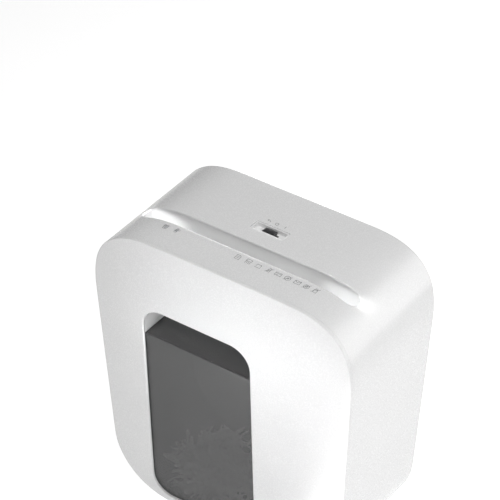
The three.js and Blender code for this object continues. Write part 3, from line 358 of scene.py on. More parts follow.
class Sheet:
    """A flat sheet with holes and lips, drawn at height 0 and laid on a surface afterwards."""

    def __init__(self) -> None:
        """Starts an empty sheet."""
        self.bm = bmesh.new()

    def ring(self, outline: Sequence[Point], height: float = 0.0) -> Ring:
        """Adds a closed ring of edges.

        Args:
            outline: counter-clockwise points.
            height: height above the sheet.

        Returns:
            The ring's vertices.
        """
        verts = [self.bm.verts.new((u, v, height)) for u, v in outline]
        for a, b in zip(verts, verts[1:] + verts[:1]):
            self.bm.edges.new((a, b))
        return verts

    def fill(self, *rings: Ring) -> None:
        """Fills the area between an outer ring and any holes."""
        edges = [e for ring in rings for e in ring_edges(ring)]
        bmesh.ops.triangle_fill(self.bm, use_beauty=True, use_dissolve=False, edges=edges, normal=UP)

    def step(self, ring: Ring, inset: float, rise: float) -> Ring:
        """Extrudes a ring into one step of a lip or wall.

        Args:
            ring: the ring to extrude.
            inset: how far the step moves towards the ring's inside.
            rise: how far the step moves up.

        Returns:
            The new ring.
        """
        made = bmesh.ops.extrude_edge_only(self.bm, edges=ring_edges(ring))
        fresh = {g for g in made["geom"] if isinstance(g, bmesh.types.BMVert)}
        risen = []
        for v in ring:
            risen.append(next(e.other_vert(v) for e in v.link_edges if e.other_vert(v) in fresh))
        count = len(ring)
        for i, v in enumerate(risen):
            before = (ring[i].co - ring[i - 1].co).to_2d().normalized()
            after = (ring[(i + 1) % count].co - ring[i].co).to_2d().normalized()
            inward = Vector((-before.y - after.y, before.x + after.x)).normalized()
            spread = math.sqrt(max(0.1, (1.0 + before.dot(after)) / 2.0))
            shift = inward * (inset / spread)
            v.co = ring[i].co + Vector((shift.x, shift.y, rise))
        return risen

    def lip(self, ring: Ring, radius: float, inwards: bool, margin: float = 0.0006, steps: int = 5) -> Ring:
        """Rolls the sheet's edge over a quarter circle, down from the surface.

        Args:
            ring: the edge, which lies radius + margin short of the wall below it.
            radius: radius of the roll.
            inwards: True for a hole's edge, False for the sheet's outer edge.
            margin: flat border between the ring and the roll.
            steps: stretches in the roll.

        Returns:
            The ring at the foot of the roll.
        """
        side = 1.0 if inwards else -1.0
        ring = self.step(ring, side * margin, 0.0)
        for i in range(steps):
            a, b = [0.5 * math.pi * k / steps for k in (i, i + 1)]
            out = radius * (math.sin(b) - math.sin(a))
            down = radius * (math.cos(a) - math.cos(b))
            ring = self.step(ring, side * out, -down)
        return ring

    def foot(self, ring: Ring, radius: float, steps: int = 5) -> Ring:
        """Rounds the corner where a wall that goes down turns inwards to its floor.

        Args:
            ring: the wall's foot, one radius above the floor.
            radius: radius of the corner.
            steps: stretches in the corner.

        Returns:
            The ring where the floor starts.
        """
        for i in range(steps):
            a, b = [0.5 * math.pi * k / steps for k in (i, i + 1)]
            inset = radius * (math.cos(a) - math.cos(b))
            ring = self.step(ring, inset, -radius * (math.sin(b) - math.sin(a)))
        return ring

    def slice(self, axis: Vector, places: Sequence[float]) -> None:
        """Cuts the sheet into strips.

        Args:
            axis: direction across the cuts.
            places: where to cut along that direction.
        """
        for place in places:
            geom = [*self.bm.verts, *self.bm.edges, *self.bm.faces]
            bmesh.ops.bisect_plane(self.bm, geom=geom, dist=WELD, plane_co=axis * place, plane_no=axis)

    def trim(self, place: float, keep_upper: bool) -> None:
        """Cuts away all of the sheet on one side of a line across it.

        Args:
            place: where the line crosses the sheet's second axis.
            keep_upper: True to keep what lies above the line, False to keep what lies below.
        """
        bmesh.ops.bisect_plane(
            self.bm,
            geom=[*self.bm.verts, *self.bm.edges, *self.bm.faces],
            dist=WELD,
            plane_co=(0.0, place, 0.0),
            plane_no=(0.0, 1.0, 0.0),
            clear_inner=keep_upper,
            clear_outer=not keep_upper,
        )

    def lay(self, surface: Callable[[Vector], Vector]) -> None:
        """Moves every vertex from the flat sheet to its place on the body."""
        for v in self.bm.verts:
            v.co = surface(v.co)

    def face(self, outward: Vector, hollow: bool = False) -> None:
        """Turns every face the right way out.

        Args:
            outward: the direction that the sheet shows its good side to.
            hollow: True for a pocket, whose inside is the good side.
        """
        bmesh.ops.remove_doubles(self.bm, verts=self.bm.verts, dist=WELD)
        bmesh.ops.recalc_face_normals(self.bm, faces=self.bm.faces)
        self.bm.normal_update()
        if hollow:
            leading = sum((f.normal * f.calc_area() for f in self.bm.faces), Vector())
        else:
            leading = max(self.bm.faces, key=lambda f: f.calc_center_median().dot(outward)).normal
        if leading.dot(outward) < 0.0:
            bmesh.ops.reverse_faces(self.bm, faces=self.bm.faces)

    def thicken(self, wall: float) -> None:
        """Gives the sheet a wall, behind its outer faces."""
        bmesh.ops.solidify(self.bm, geom=self.bm.faces, thickness=wall)


def solid_box(
    bm: bmesh.types.BMesh,
    low: Vector,
    high: Vector,
    radius: float,
    steps: int = 2,
) -> None:
    """Adds a box with its edges rounded.

    Args:
        bm: mesh that takes the box.
        low: lowest corner.
        high: highest corner.
        radius: radius of the edges.
        steps: stretches in each round edge.
    """
    size = high - low
    place = Matrix.Translation((low + high) / 2) @ Matrix.Diagonal((*size, 1.0))
    made = bmesh.ops.create_cube(bm, size=1.0, matrix=place)
    bmesh.ops.bevel(
        bm,
        geom=list({e for v in made["verts"] for e in v.link_edges}),
        offset=radius,
        offset_type="OFFSET",
        segments=steps,
        profile=0.5,
        affect="EDGES",
        material=-1,
    )


def turned(bm: bmesh.types.BMesh, profile: Sequence[Point], place: Matrix, steps: int = 32) -> None:
    """Adds a turned piece, spun about the local Z axis.

    Args:
        bm: mesh that takes the piece.
        profile: radius and height of each point, from one end of the piece to the other.
        place: where the local frame stands.
        steps: stretches round the piece.
    """
    verts = [bm.verts.new(place @ Vector((r, 0.0, h))) for r, h in profile]
    edges = [bm.edges.new(pair) for pair in zip(verts, verts[1:])]
    bmesh.ops.spin(
        bm,
        geom=[*verts, *edges],
        cent=place.translation,
        axis=(place.to_3x3() @ UP).normalized(),
        angle=2.0 * math.pi,
        steps=steps,
        use_merge=True,
    )
    bmesh.ops.remove_doubles(bm, verts=bm.verts, dist=WELD)
    bmesh.ops.recalc_face_normals(bm, faces=bm.faces)


def band(bm: bmesh.types.BMesh, line: Sequence[Vector], run: Vector) -> None:
    """Adds a band, swept from an open line of points.

    Args:
        bm: mesh that takes the band.
        line: the points, in order.
        run: from the line to the band's far edge.
    """
    verts = [bm.verts.new(p) for p in line]
    edges = [bm.edges.new(pair) for pair in zip(verts, verts[1:])]
    made = bmesh.ops.extrude_edge_only(bm, edges=edges)
    far = [g for g in made["geom"] if isinstance(g, bmesh.types.BMVert)]
    bmesh.ops.translate(bm, verts=far, vec=run)


def prism(bm: bmesh.types.BMesh, outline: Sequence[Vector], run: Vector) -> None:
    """Adds a prism.

    Args:
        bm: mesh that takes the prism.
        outline: the base's corners.
        run: from the base to the far end.
    """
    base = bm.faces.new([bm.verts.new(p) for p in outline])
    made = bmesh.ops.extrude_face_region(bm, geom=[base])
    bmesh.ops.translate(bm, verts=[g for g in made["geom"] if isinstance(g, bmesh.types.BMVert)], vec=run)
    bmesh.ops.recalc_face_normals(bm, faces=bm.faces)


@dataclass
class Piece:
    """One finished object and what the frame has to know about it.

    Args:
        name: the object's name.
        body: the body that it rides on.
        slot: the record's slot that it takes its finish from.
        stands_for: CAD nodes that it replaces.
        crease: faces that meet at more than this angle, in degrees, keep a hard edge.
        finish: a finish of its own, or None for the slot's.
    """

    name: str
    body: Body
    slot: Slot
    stands_for: tuple[str, ...] = ()
    crease: float = 38.0
    finish: Finish | None = None

    def deliver(self, bm: bmesh.types.BMesh) -> bpy.types.Object:
        """Turns a bmesh into the object, dresses it and sets it on its body.

        Args:
            bm: the finished bmesh, which is freed.

        Returns:
            The object.
        """
        limit = math.radians(self.crease)
        for f in bm.faces:
            f.smooth = True
        for e in bm.edges:
            e.smooth = len(e.link_faces) == 2 and e.calc_face_angle(0.0) < limit
        mesh = bpy.data.meshes.new(self.name)
        bm.to_mesh(mesh)
        bm.free()
        made = bpy.data.objects.new(self.name, mesh)
        bpy.context.scene.collection.objects.link(made)
        look = PALETTE.slot(self.slot) if self.finish is None else PALETTE.get(self.finish, self.name)
        mesh.materials.append(look)
        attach(made, self.body.value)
        if self.stands_for:
            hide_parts(*self.stands_for)
        LOG.info("%s: %d faces on %s", self.name, len(mesh.polygons), self.body.value)
        return made


# ---------------------------------------------------------------- body form


@dataclass(frozen=True)
class BodyForm:
    """The outline of the body and the surfaces that its shells lie on."""

    width: float = 0.339
    top_z: float = 0.3849
    bottom_z: float = 0.004
    shoulder_rx: float = 0.0935
    shoulder_rz: float = 0.0847
    power: float = 2.75
    taper: float = 0.052
    bottom_radius: float = 0.0786
    front_y: float = -0.0845
    back_y: float = 0.0845
    front_lean: float = 0.037
    back_lean: float = 0.031
    lean_blend: float = 0.012
    crown: float = 0.0015
    crown_z: float = 0.195

    @property
    def shoulder_z(self) -> float:
        """Height where the shoulders start."""
        return self.top_z - self.shoulder_rz

    @property
    def flat_x(self) -> float:
        """Where the flat top ends and a shoulder starts."""
        return self.width / 2 - self.shoulder_rx

    def shoulder(self, angle: float) -> Point:
        """Point of the right shoulder, from 0 at the side to half pi at the top."""
        across = math.cos(angle) ** (2.0 / self.power)
        up = math.sin(angle) ** (2.0 / self.power)
        return (self.flat_x + self.shoulder_rx * across, self.shoulder_z + self.shoulder_rz * up)

    def shoulder_angle(self, x: float) -> float:
        """Angle of the shoulder's point at a given distance from the middle."""
        return math.acos(((x - self.flat_x) / self.shoulder_rx) ** (self.power / 2.0))

    def top_height(self, x: float) -> float:
        """Height of the top at a given distance from the middle."""
        reach = max(0.0, abs(x) - self.flat_x) / self.shoulder_rx
        return self.shoulder_z + self.shoulder_rz * (1.0 - reach**self.power) ** (1.0 / self.power)

    def lower_half(self, steps: int) -> list[Point]:
        """The right half's outline from the bottom's end up to the side's top, without the shoulder.

        Args:
            steps: stretches in the bottom corner.

        Returns:
            The points.
        """
        slope = math.atan(self.taper)
        tangent_z = self.bottom_z + self.bottom_radius * (1.0 - math.sin(slope))
        tangent_x = self.width / 2 - self.taper * (self.shoulder_z - tangent_z)
        centre = (tangent_x - self.bottom_radius * math.cos(slope), self.bottom_z + self.bottom_radius)
        corner = arc(centre, self.bottom_radius, -0.5 * math.pi, -slope, steps)
        rise = self.shoulder_z - tangent_z
        side = [
            (tangent_x + self.taper * rise * t, tangent_z + rise * t) for t in (0.08, 0.3, 0.55, 0.8, 0.93)
        ]
        return [*corner, *side]

    def outline(self, inset: float = 0.0, steps: int = 30) -> list[Point]:
        """The whole outline seen from the front.

        Args:
            inset: how far inside the body's own outline it lies.
            steps: stretches in each shoulder.

        Returns:
            The points, counter-clockwise.
        """
        shoulder = [self.shoulder(0.5 * math.pi * i / steps) for i in range(steps + 1)]
        right = [*self.lower_half(20), *shoulder]
        whole = [*right, *[(-x, z) for x, z in reversed(right)]]
        moved: list[Point] = []
        for i, (x, z) in enumerate(whole):
            before = (Vector((x, z)) - Vector(whole[i - 1])).normalized()
            after = (Vector(whole[(i + 1) % len(whole)]) - Vector((x, z))).normalized()
            inward = Vector((-before.y - after.y, before.x + after.x)).normalized()
            spread = math.sqrt((1.0 + before.dot(after)) / 2.0)
            moved.append((x + inward.x * inset / spread, z + inward.y * inset / spread))
        return moved

    def lean(self, z: float) -> float:
        """Smooth run of a leaning face, per unit of its lean."""
        return self.lean_blend * math.log1p(math.exp((self.shoulder_z - z) / self.lean_blend))

    def front(self, z: float) -> float:
        """The front edge's place at a height."""
        return self.front_y + self.front_lean * self.lean(z)

    def back(self, z: float) -> float:
        """The back edge's place at a height."""
        return self.back_y - self.back_lean * self.lean(z)

    def bulge(self, x: float, z: float) -> float:
        """How far the front stands out from its edges."""
        across = 1.0 - min(1.0, abs(x) / (self.width / 2)) ** 2.4
        tall = 1.0 - min(1.0, abs(z - self.crown_z) / (self.top_z - self.crown_z)) ** 3.0
        return self.crown * across * tall

    def on_top(self, p: Vector) -> Vector:
        """Lays a point of a sheet on the top: across, along the depth, and height above the top."""
        return Vector((p.x, p.y, self.top_height(p.x) + p.z))

    def on_front(self, p: Vector) -> Vector:
        """Lays a point of a sheet on the front: across, up, and height out of the front."""
        return Vector((p.x, self.front(p.y) - self.bulge(p.x, p.y) - p.z, p.y))

    def on_back(self, p: Vector) -> Vector:
        """Lays a point of a sheet on the back: across, up, and height out of the back."""
        return Vector((p.x, self.back(p.y) + p.z, p.y))


FORM = BodyForm()


@dataclass(frozen=True)
class WindowForm:
    """The cut-out in the bin's face, and the shelf and finger recess behind its upper end."""

    left: float = -0.104
    right: float = 0.040
    top: float = 0.295
    bottom: float = 0.014
    radius: float = 0.026
    shelf_z: float = 0.255
    recess_depth: float = 0.046

    def outline(self, border: float = 0.0, steps: int = 10) -> list[Point]:
        """The cut-out's outline.

        Args:
            border: how far outside the cut-out's own outline it lies.
            steps: stretches in each corner.

        Returns:
            The points, counter-clockwise.
        """
        radius = self.radius + border
        low, high = self.bottom - border, self.top + border
        left, right = self.left - border, self.right + border
        return [
            *arc((right - radius, low + radius), radius, -0.5 * math.pi, 0.0, steps),
            *arc((right - radius, high - radius), radius, 0.0, 0.5 * math.pi, steps),
            *arc((left + radius, high - radius), radius, 0.5 * math.pi, math.pi, steps),
            *arc((left + radius, low + radius), radius, math.pi, 1.5 * math.pi, steps),
        ]


WINDOW = WindowForm()


# ---------------------------------------------------------------- housing


@dataclass
class Housing:
    """The white wrap, its rear cover, the feet and what is screwed or pressed into them."""

    wall: float = 0.003
    edge_gap: float = 0.0047
    back_gap: float = 0.0033
    sheet_x: float = 0.150
    slot_y: float = -0.02725
    slot_length: float = 0.280
    slot_width: float = 0.0205
    lip: float = 0.0016
    small_lip: float = 0.0004
    margin: float = 0.0006
    well_y: float = 0.012
    well_length: float = 0.044
    well_width: float = 0.015
    well_corner: float = 0.0018
    lens_places: tuple[Point, ...] = ((-0.097, -0.047), (-0.083, -0.0463))
    lens_radius: float = 0.0024
    lens_gap: float = 0.0002
    cover_inset: float = 0.0008
    cover_edge: float = 0.0015
    cover_rim: float = 0.0012
    cover_wall: float = 0.0012
    ramp_width: float = 0.003
    ramp_border: float = 0.0008
    ramp_steps: int = 4
    plateau_inset: float = 0.0085
    plateau_rise: float = 0.0016
    vent_centres: tuple[float, ...] = (-0.052, 0.052)
    vent_length: float = 0.074
    vent_height: float = 0.003
    vent_pitch: float = 0.008
    vent_low: float = 0.2975
    vent_rows: int = 7
    gland_place: Point = (-0.122, 0.316)
    gland_radius: float = 0.008
    gland_gap: float = 0.0006
    screw_places: tuple[Point, ...] = ((-0.153, 0.330), (0.153, 0.330), (-0.138, 0.090), (0.138, 0.090))
    seat_radius: float = 0.0046
    screw_sizes: tuple[float, ...] = (0.0034, 0.0019, 0.0016, 0.008)
    foot_x: float = 0.062
    foot_y: tuple[float, ...] = (-0.052, 0.050)
    foot_radius: float = 0.011

    def hole(self, length: float, width: float, radius: float, place: Point, lip: float) -> list[Point]:
        """Outline of a hole's flat border, from which its lip is rolled.

        Args:
            length: the hole's own length.
            width: the hole's own width.
            radius: the hole's own corner radius.
            place: the hole's middle.
            lip: radius of its lip.

        Returns:
            The points.
        """
        grown = lip + self.margin
        return rounded_box(place, length + 2 * grown, width + 2 * grown, radius + grown, 10)

    def wrap(self) -> None:
        """Makes the wrap: a sheet with its holes over the top, and a strip round the sides and bottom."""
        sheet = Sheet()
        front, back = FORM.front_y + self.edge_gap, FORM.back_y - self.back_gap
        limit = self.sheet_x
        border = sheet.ring([(-limit, front), (limit, front), (limit, back), (-limit, back)])
        slot = sheet.ring(
            self.hole(self.slot_length, self.slot_width, self.slot_width / 2, (0.0, self.slot_y), self.lip)
        )
        small = self.small_lip
        middle = (0.0, self.well_y)
        well = sheet.ring(self.hole(self.well_length, self.well_width, self.well_corner, middle, small))
        reach = self.lens_radius + self.lens_gap + small + self.margin
        lenses = [sheet.ring(circle(place, reach, 24)) for place in self.lens_places]
        sheet.fill(border, slot, well, *lenses)
        sheet.step(sheet.lip(slot, self.lip, True, self.margin), 0.0, self.lip - self.wall)
        for ring in [well, *lenses]:
            sheet.step(sheet.lip(ring, small, True, self.margin, 2), 0.0, small - self.wall)
        steps = 34
        turn = FORM.shoulder_angle(limit)
        angles = [turn + (0.5 * math.pi - turn) * i / steps for i in range(1, steps)]
        cuts = [FORM.shoulder(a)[0] for a in angles]
        sheet.slice(RIGHT, [*cuts, *[-x for x in cuts]])
        sheet.lay(FORM.on_top)
        self.flank(sheet, front, back, turn)
        sheet.face(UP)
        sheet.thicken(self.wall)
        piece = Piece("housing_wrap_shell", Body.HOUSING, Slot.WHITE_SHELL, ("housing_wrap",))
        piece.deliver(sheet.bm)

    def flank(self, sheet: Sheet, front: float, back: float, turn: float) -> None:
        """Adds the sides and the bottom to the wrap.

        Args:
            sheet: the wrap, with its top already laid.
            front: front edge of the top.
            back: back edge of the top.
            turn: shoulder angle where the top's sheet ends.
        """
        bm = sheet.bm
        steps = 22
        seam = 0.00002
        shoulder = [FORM.shoulder(turn * i / steps) for i in range(steps + 1)]
        right = [*FORM.lower_half(24), *shoulder]
        whole = [*[(-x, z) for x, z in reversed(right)], *right]
        band(bm, [Vector((x, front, z)) for x, z in whole], Vector((0.0, back - front, 0.0)))
        bmesh.ops.remove_doubles(bm, verts=bm.verts, dist=seam)
        for v in bm.verts:
            share = (v.co.y - FORM.front_y) / (FORM.back_y - FORM.front_y)
            near, away = FORM.front(v.co.z), FORM.back(v.co.z)
            v.co.y = near + share * (away - near)

    def rear_cover(self) -> None:
        """Makes the rear cover, with its raised field, vents, gland hole and screw seats."""
        sheet = Sheet()
        edge = self.cover_edge
        rim = sheet.ring(FORM.outline(self.cover_inset + edge + self.margin))
        field = sheet.ring(FORM.outline(self.plateau_inset - self.ramp_width))
        sheet.fill(rim, field)
        below = sheet.lip(rim, edge, False, self.margin, 4)
        sheet.step(below, 0.0, -self.cover_rim)
        ramp = self.ramp_steps
        for i in range(ramp):
            a, b = [0.5 - 0.5 * math.cos(math.pi * k / ramp) for k in (i, i + 1)]
            field = sheet.step(field, self.ramp_width / ramp, self.plateau_rise * (b - a))
        field = sheet.step(field, self.ramp_border, 0.0)
        vents = []
        for x in self.vent_centres:
            for row in range(self.vent_rows):
                place = (x, self.vent_low + row * self.vent_pitch)
                outline = rounded_box(place, self.vent_length, self.vent_height, self.vent_height / 2, 5)
                vents.append(sheet.ring(outline, self.plateau_rise))
        gland = sheet.ring(circle(self.gland_place, self.gland_radius + self.gland_gap), self.plateau_rise)
        seats = [sheet.ring(circle(p, self.seat_radius), self.plateau_rise) for p in self.screw_places]
        sheet.fill(field, *vents, gland, *seats)
        for ring in vents:
            sheet.step(sheet.step(ring, 0.0003, -0.0003), 0.0001, -0.0024)
        sheet.step(sheet.step(gland, 0.0004, -0.0004), 0.0001, -0.0022)
        for ring in seats:
            bottom = sheet.step(sheet.step(ring, 0.0003, -0.0003), 0.0002, -0.0014)
            sheet.fill(bottom)
        sheet.slice(BACKWARD, [0.02 + 0.02 * i for i in range(18)])
        sheet.lay(FORM.on_back)
        sheet.face(BACKWARD)
        sheet.thicken(self.cover_wall)
        piece = Piece("rear_cover_panel", Body.HOUSING, Slot.WHITE_SHELL, ("rear_cover",))
        piece.deliver(sheet.bm)

    def gland(self) -> None:
        """Makes the rubber gland, a grooved bush in the rear cover."""
        bm = bmesh.new()
        x, z = self.gland_place
        place = Matrix.Translation((x, FORM.back(z), z)) @ Matrix.Rotation(-0.5 * math.pi, 4, "X")
        outer = self.gland_radius
        profile = [
            (0.0034, -0.005),
            (outer + 0.0016, -0.005),
            (outer + 0.0016, -0.0033),
            (outer - 0.0003, -0.0033),
            (outer - 0.0003, 0.0006),
            (outer - 0.0010, 0.0012),
            (outer - 0.0022, 0.0014),
            (0.0048, 0.0014),
            (0.0039, 0.0011),
            (0.0034, 0.0004),
            (0.0034, -0.005),
        ]
        turned(bm, profile, place, 40)
        Piece("cord_gland_bush", Body.HOUSING, Slot.RUBBER, ("cord_gland",)).deliver(bm)

    def feet(self) -> None:
        """Makes the four rubber feet, each with a grooved sole."""
        places = [(x, y) for y in self.foot_y for x in (-self.foot_x, self.foot_x)]
        outer = self.foot_radius
        profile = [
            (0.0, 0.0009),
            (0.0045, 0.0009),
            (0.0051, 0.0),
            (0.0064, 0.0),
            (0.0068, 0.0006),
            (0.0072, 0.0),
            (outer - 0.0014, 0.0),
            (outer - 0.0004, 0.0005),
            (outer, 0.0014),
            (outer, 0.0033),
            (outer - 0.0004, 0.0037),
            (0.004, 0.0037),
            (0.004, 0.0067),
            (0.0, 0.0067),
        ]
        for i, (x, y) in enumerate(places):
            bm = bmesh.new()
            turned(bm, profile, Matrix.Translation((x, y, 0.0)), 40)
            Piece(f"foot_{i + 1}_pad", Body.HOUSING, Slot.RUBBER, (f"foot_{i + 1}",)).deliver(bm)

    def screws(self) -> None:
        """Makes the rear cover's four screws."""
        for i, (x, z) in enumerate(self.screw_places):
            node = f"rear_screw_{i + 1}"
            seat = FORM.back(z) - 0.0004
            turn = Matrix.Rotation(-0.5 * math.pi, 4, "X") @ Matrix.Rotation(0.4 + 0.7 * i, 4, "Z")
            cross_screw(node, Matrix.Translation((x, seat, z)) @ turn, *self.screw_sizes)

    def build(self) -> None:
        """Builds the whole housing."""
        self.wrap()
        self.rear_cover()
        self.gland()
        self.feet()
        self.screws()


def cross_screw(node: str, place: Matrix, head: float, rise: float, shank: float, length: float) -> None:
    """Makes a pan-head screw with a cross recess in place of its node.

    Args:
        node: the CAD node that it stands for.
        place: the head's underside, with local Z out of the head.
        head: the head's radius.
        rise: the head's height.
        shank: the shank's radius.
        length: the shank's length.
    """
    sheet = Sheet()
    arm, half = head * 0.52, head * 0.13
    cross = [
        (arm, -half),
        (arm, half),
        (half, half),
        (half, arm),
        (-half, arm),
        (-half, half),
        (-arm, half),
        (-arm, -half),
        (-half, -half),
        (-half, -arm),
        (half, -arm),
        (half, -half),
    ]
    crown = sheet.ring(circle((0.0, 0.0), head * 0.62), rise)
    recess = sheet.ring(cross, rise)
    sheet.fill(crown, recess)
    sheet.fill(sheet.step(recess, half * 0.5, -rise * 0.75))
    edge = sheet.step(crown, -head * 0.2, -rise * 0.16)
    edge = sheet.step(edge, -head * 0.13, -rise * 0.34)
    edge = sheet.step(edge, -head * 0.05, -rise * 0.4)
    under = sheet.step(edge, 0.0, -rise * 0.1)
    neck = sheet.step(under, head - shank, 0.0)
    point = sheet.step(sheet.step(neck, 0.0, -length + 0.001), shank * 0.4, -0.001)
    sheet.fill(point)
    sheet.lay(lambda p: place @ p)
    sheet.face(place.to_3x3() @ UP)
    bmesh.ops.recalc_face_normals(sheet.bm, faces=sheet.bm.faces)
    Piece(f"{node}_fastener", Body.HOUSING, Slot.ZINC, (node,)).deliver(sheet.bm)


# ---------------------------------------------------------------- paper path and controls


@dataclass
class PaperPath:
    """The trough in the top, the start lever in it and the marks printed in front of it."""

    slot_y: float = -0.02725
    length: float = 0.280
    width: float = 0.0205
    floor_z: float = 0.357
    foot_z: float = 0.3505
    round_foot: float = 0.0025
    wall: float = 0.0016
    gap: float = 0.0001
    slit_length: float = 0.224
    slit_width: float = 0.007
    slit_border: float = 0.0012
    top_drop: float = 0.0031
    notch: float = 0.004
    notch_top: float = 0.364
    drawn_wall: float = 1.0
    drawn_notch: float = -0.9
    lever_y: float = -0.009
    lever_z: float = 0.361
    arm_half_width: float = 0.0025
    arm_half_height: float = 0.0015
    pin_radius: float = 0.0017
    hub_radius: float = 0.0029
    hub_half: float = 0.0039
    dome: float = 0.0004
    mark_y: float = -0.047
    mark_places: tuple[float, ...] = (
        *(-0.0005, 0.0129, 0.0261, 0.0394, 0.0513),
        *(0.0634, 0.0758, 0.0875, 0.0987),
    )
    mark_half: float = 0.0040

    def trough(self) -> None:
        """Makes the trough: walls under the wrap's opening, a round-cornered floor, and the slit.

        The wall is drawn far taller than it is, so that its top, the top of the lever's notch and the
        floor lie well apart in the flat sheet. Each is then set at its true height.
        """
        sheet = Sheet()
        gap, border = self.gap, self.slit_border
        middle = (0.0, self.slot_y)
        outline = rounded_box(middle, self.length - gap, self.width - gap, self.width / 2 - gap, 12)
        wall_foot = sheet.step(sheet.ring(outline, 0.0), 0.0, -self.drawn_wall)
        ring = sheet.foot(wall_foot, self.round_foot)
        slit = rounded_box(
            middle,
            self.slit_length + 2 * border,
            self.slit_width + 2 * border,
            self.slit_width / 2 + border,
            8,
        )
        level = ring[0].co.z
        mouth = sheet.ring(slit, level)
        sheet.fill(ring, mouth)
        mouth = sheet.lip(mouth, border * 0.5, True, border * 0.5, 3)
        sheet.step(mouth, 0.0, self.foot_z - self.floor_z + border * 0.5)
        sheet.slice(RIGHT, [0.006 * i - 0.138 for i in range(47)])
        sheet.slice(RIGHT, [-self.notch, self.notch])
        sheet.slice(UP, [self.drawn_notch])
        open_part = [f for f in sheet.bm.faces if self.in_notch(f.calc_center_median())]
        bmesh.ops.delete(sheet.bm, geom=open_part, context="FACES")
        sheet.lay(lambda p: self.trough_point(p, level))
        sheet.face(UP, True)
        sheet.thicken(self.wall)
        piece = Piece("slot_trough", Body.HOUSING, Slot.WHITE_TRIM, ("slot_throat",), 50.0)
        piece.deliver(sheet.bm)

    def in_notch(self, p: Vector) -> bool:
        """Tells whether a point of the drawn trough lies in the lever's notch, low in the rear wall."""
        return abs(p.x) < self.notch and p.y > self.slot_y + 0.001 and p.z < self.drawn_notch

    def trough_point(self, p: Vector, level: float) -> Vector:
        """Sets a point of the drawn trough at its true height.

        Args:
            p: the point as drawn.
            level: height of the floor as drawn.

        Returns:
            The point on the body: the wall's top hangs just under the wrap.
        """
        if p.z > -0.5 * self.drawn_wall:
            return Vector((p.x, p.y, FORM.top_height(p.x) - self.top_drop))
        if p.z > 0.5 * (self.drawn_notch - self.drawn_wall):
            return Vector((p.x, p.y, self.notch_top))
        return Vector((p.x, p.y, p.z - level + self.floor_z))

    def flag(self) -> None:
        """Makes the start lever, a rounded arm on a turned pin."""
        low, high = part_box("paper_flag")
        bm = bmesh.new()
        middle = Vector((0.0, self.lever_y, self.lever_z))
        arm_low = Vector((-self.arm_half_width, low.y, middle.z - self.arm_half_height))
        arm_high = Vector((self.arm_half_width, middle.y, middle.z + self.arm_half_height))
        solid_box(bm, arm_low, arm_high, 0.0009, 3)
        along = Matrix.Translation(middle) @ Matrix.Rotation(0.5 * math.pi, 4, "Y")
        pin, hub, hub_half = self.pin_radius, self.hub_radius, self.hub_half
        half = (high.x - low.x) / 2
        bevel = 0.0004
        profile = [
            (0.0, -half),
            (pin - bevel, -half),
            (pin, -half + bevel),
            (pin, -hub_half),
            (hub, -hub_half),
            (hub, hub_half),
            (pin, hub_half),
            (pin, half - bevel),
            (pin - bevel, half),
            (0.0, half),
        ]
        turned(bm, profile, along, 28)
        Piece("paper_flag_arm", Body.FLAG, Slot.DARK, ("paper_flag",)).deliver(bm)

    def lenses(self, places: Sequence[Point], radius: float) -> None:
        """Makes the two indicator lenses, with shallow domes level with the top.

        Args:
            places: across and along the depth.
            radius: the lenses' radius.
        """
        for i, (x, y) in enumerate(places):
            bm = bmesh.new()
            node = f"indicator_lens_{i + 1}"
            low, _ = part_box(node)
            height = FORM.top_height(x) - 0.0002 - low.z
            turns = (0.0, 0.5, 1.0, 1.4)
            dome = [(radius * math.sin(a), height - self.dome * (1.0 - math.cos(a))) for a in turns]
            profile = [*dome, (radius, height - 2 * self.dome), (radius, 0.0), (0.0, 0.0)]
            turned(bm, profile, Matrix.Translation((x, y, low.z)), 32)
            Piece(f"{node}_dome", Body.HOUSING, Slot.LENS, (node,)).deliver(bm)

    def marks(self, lens_places: Sequence[Point]) -> None:
        """Prints the two status signs and the nine small signs for what may be shredded.

        Args:
            lens_places: where the two status signs stand.
        """
        bm = bmesh.new()
        pen = Pen(bm, INK_HEIGHT)
        for (x, y), sign in zip(lens_places, (Signs.bin_full, Signs.too_warm)):
            sign(pen.at(x, y, self.mark_half))
        row = (
            Signs.sheets,
            Signs.strips,
            Signs.staple,
            Signs.clip,
            Signs.card,
            Signs.disc,
            Signs.envelope,
            Signs.hand,
            Signs.oil,
        )
        for x, sign in zip(self.mark_places, row):
            sign(pen.at(x, self.mark_y, self.mark_half))
        Piece("printed_signs", Body.HOUSING, Slot.DARK, finish=PRINT_INK).deliver(bm)

    def build(self, lens_places: Sequence[Point], lens_radius: float) -> None:
        """Builds the trough, lever, lenses and marks."""
        self.trough()
        self.flag()
        self.lenses(lens_places, lens_radius)
        self.marks(lens_places)


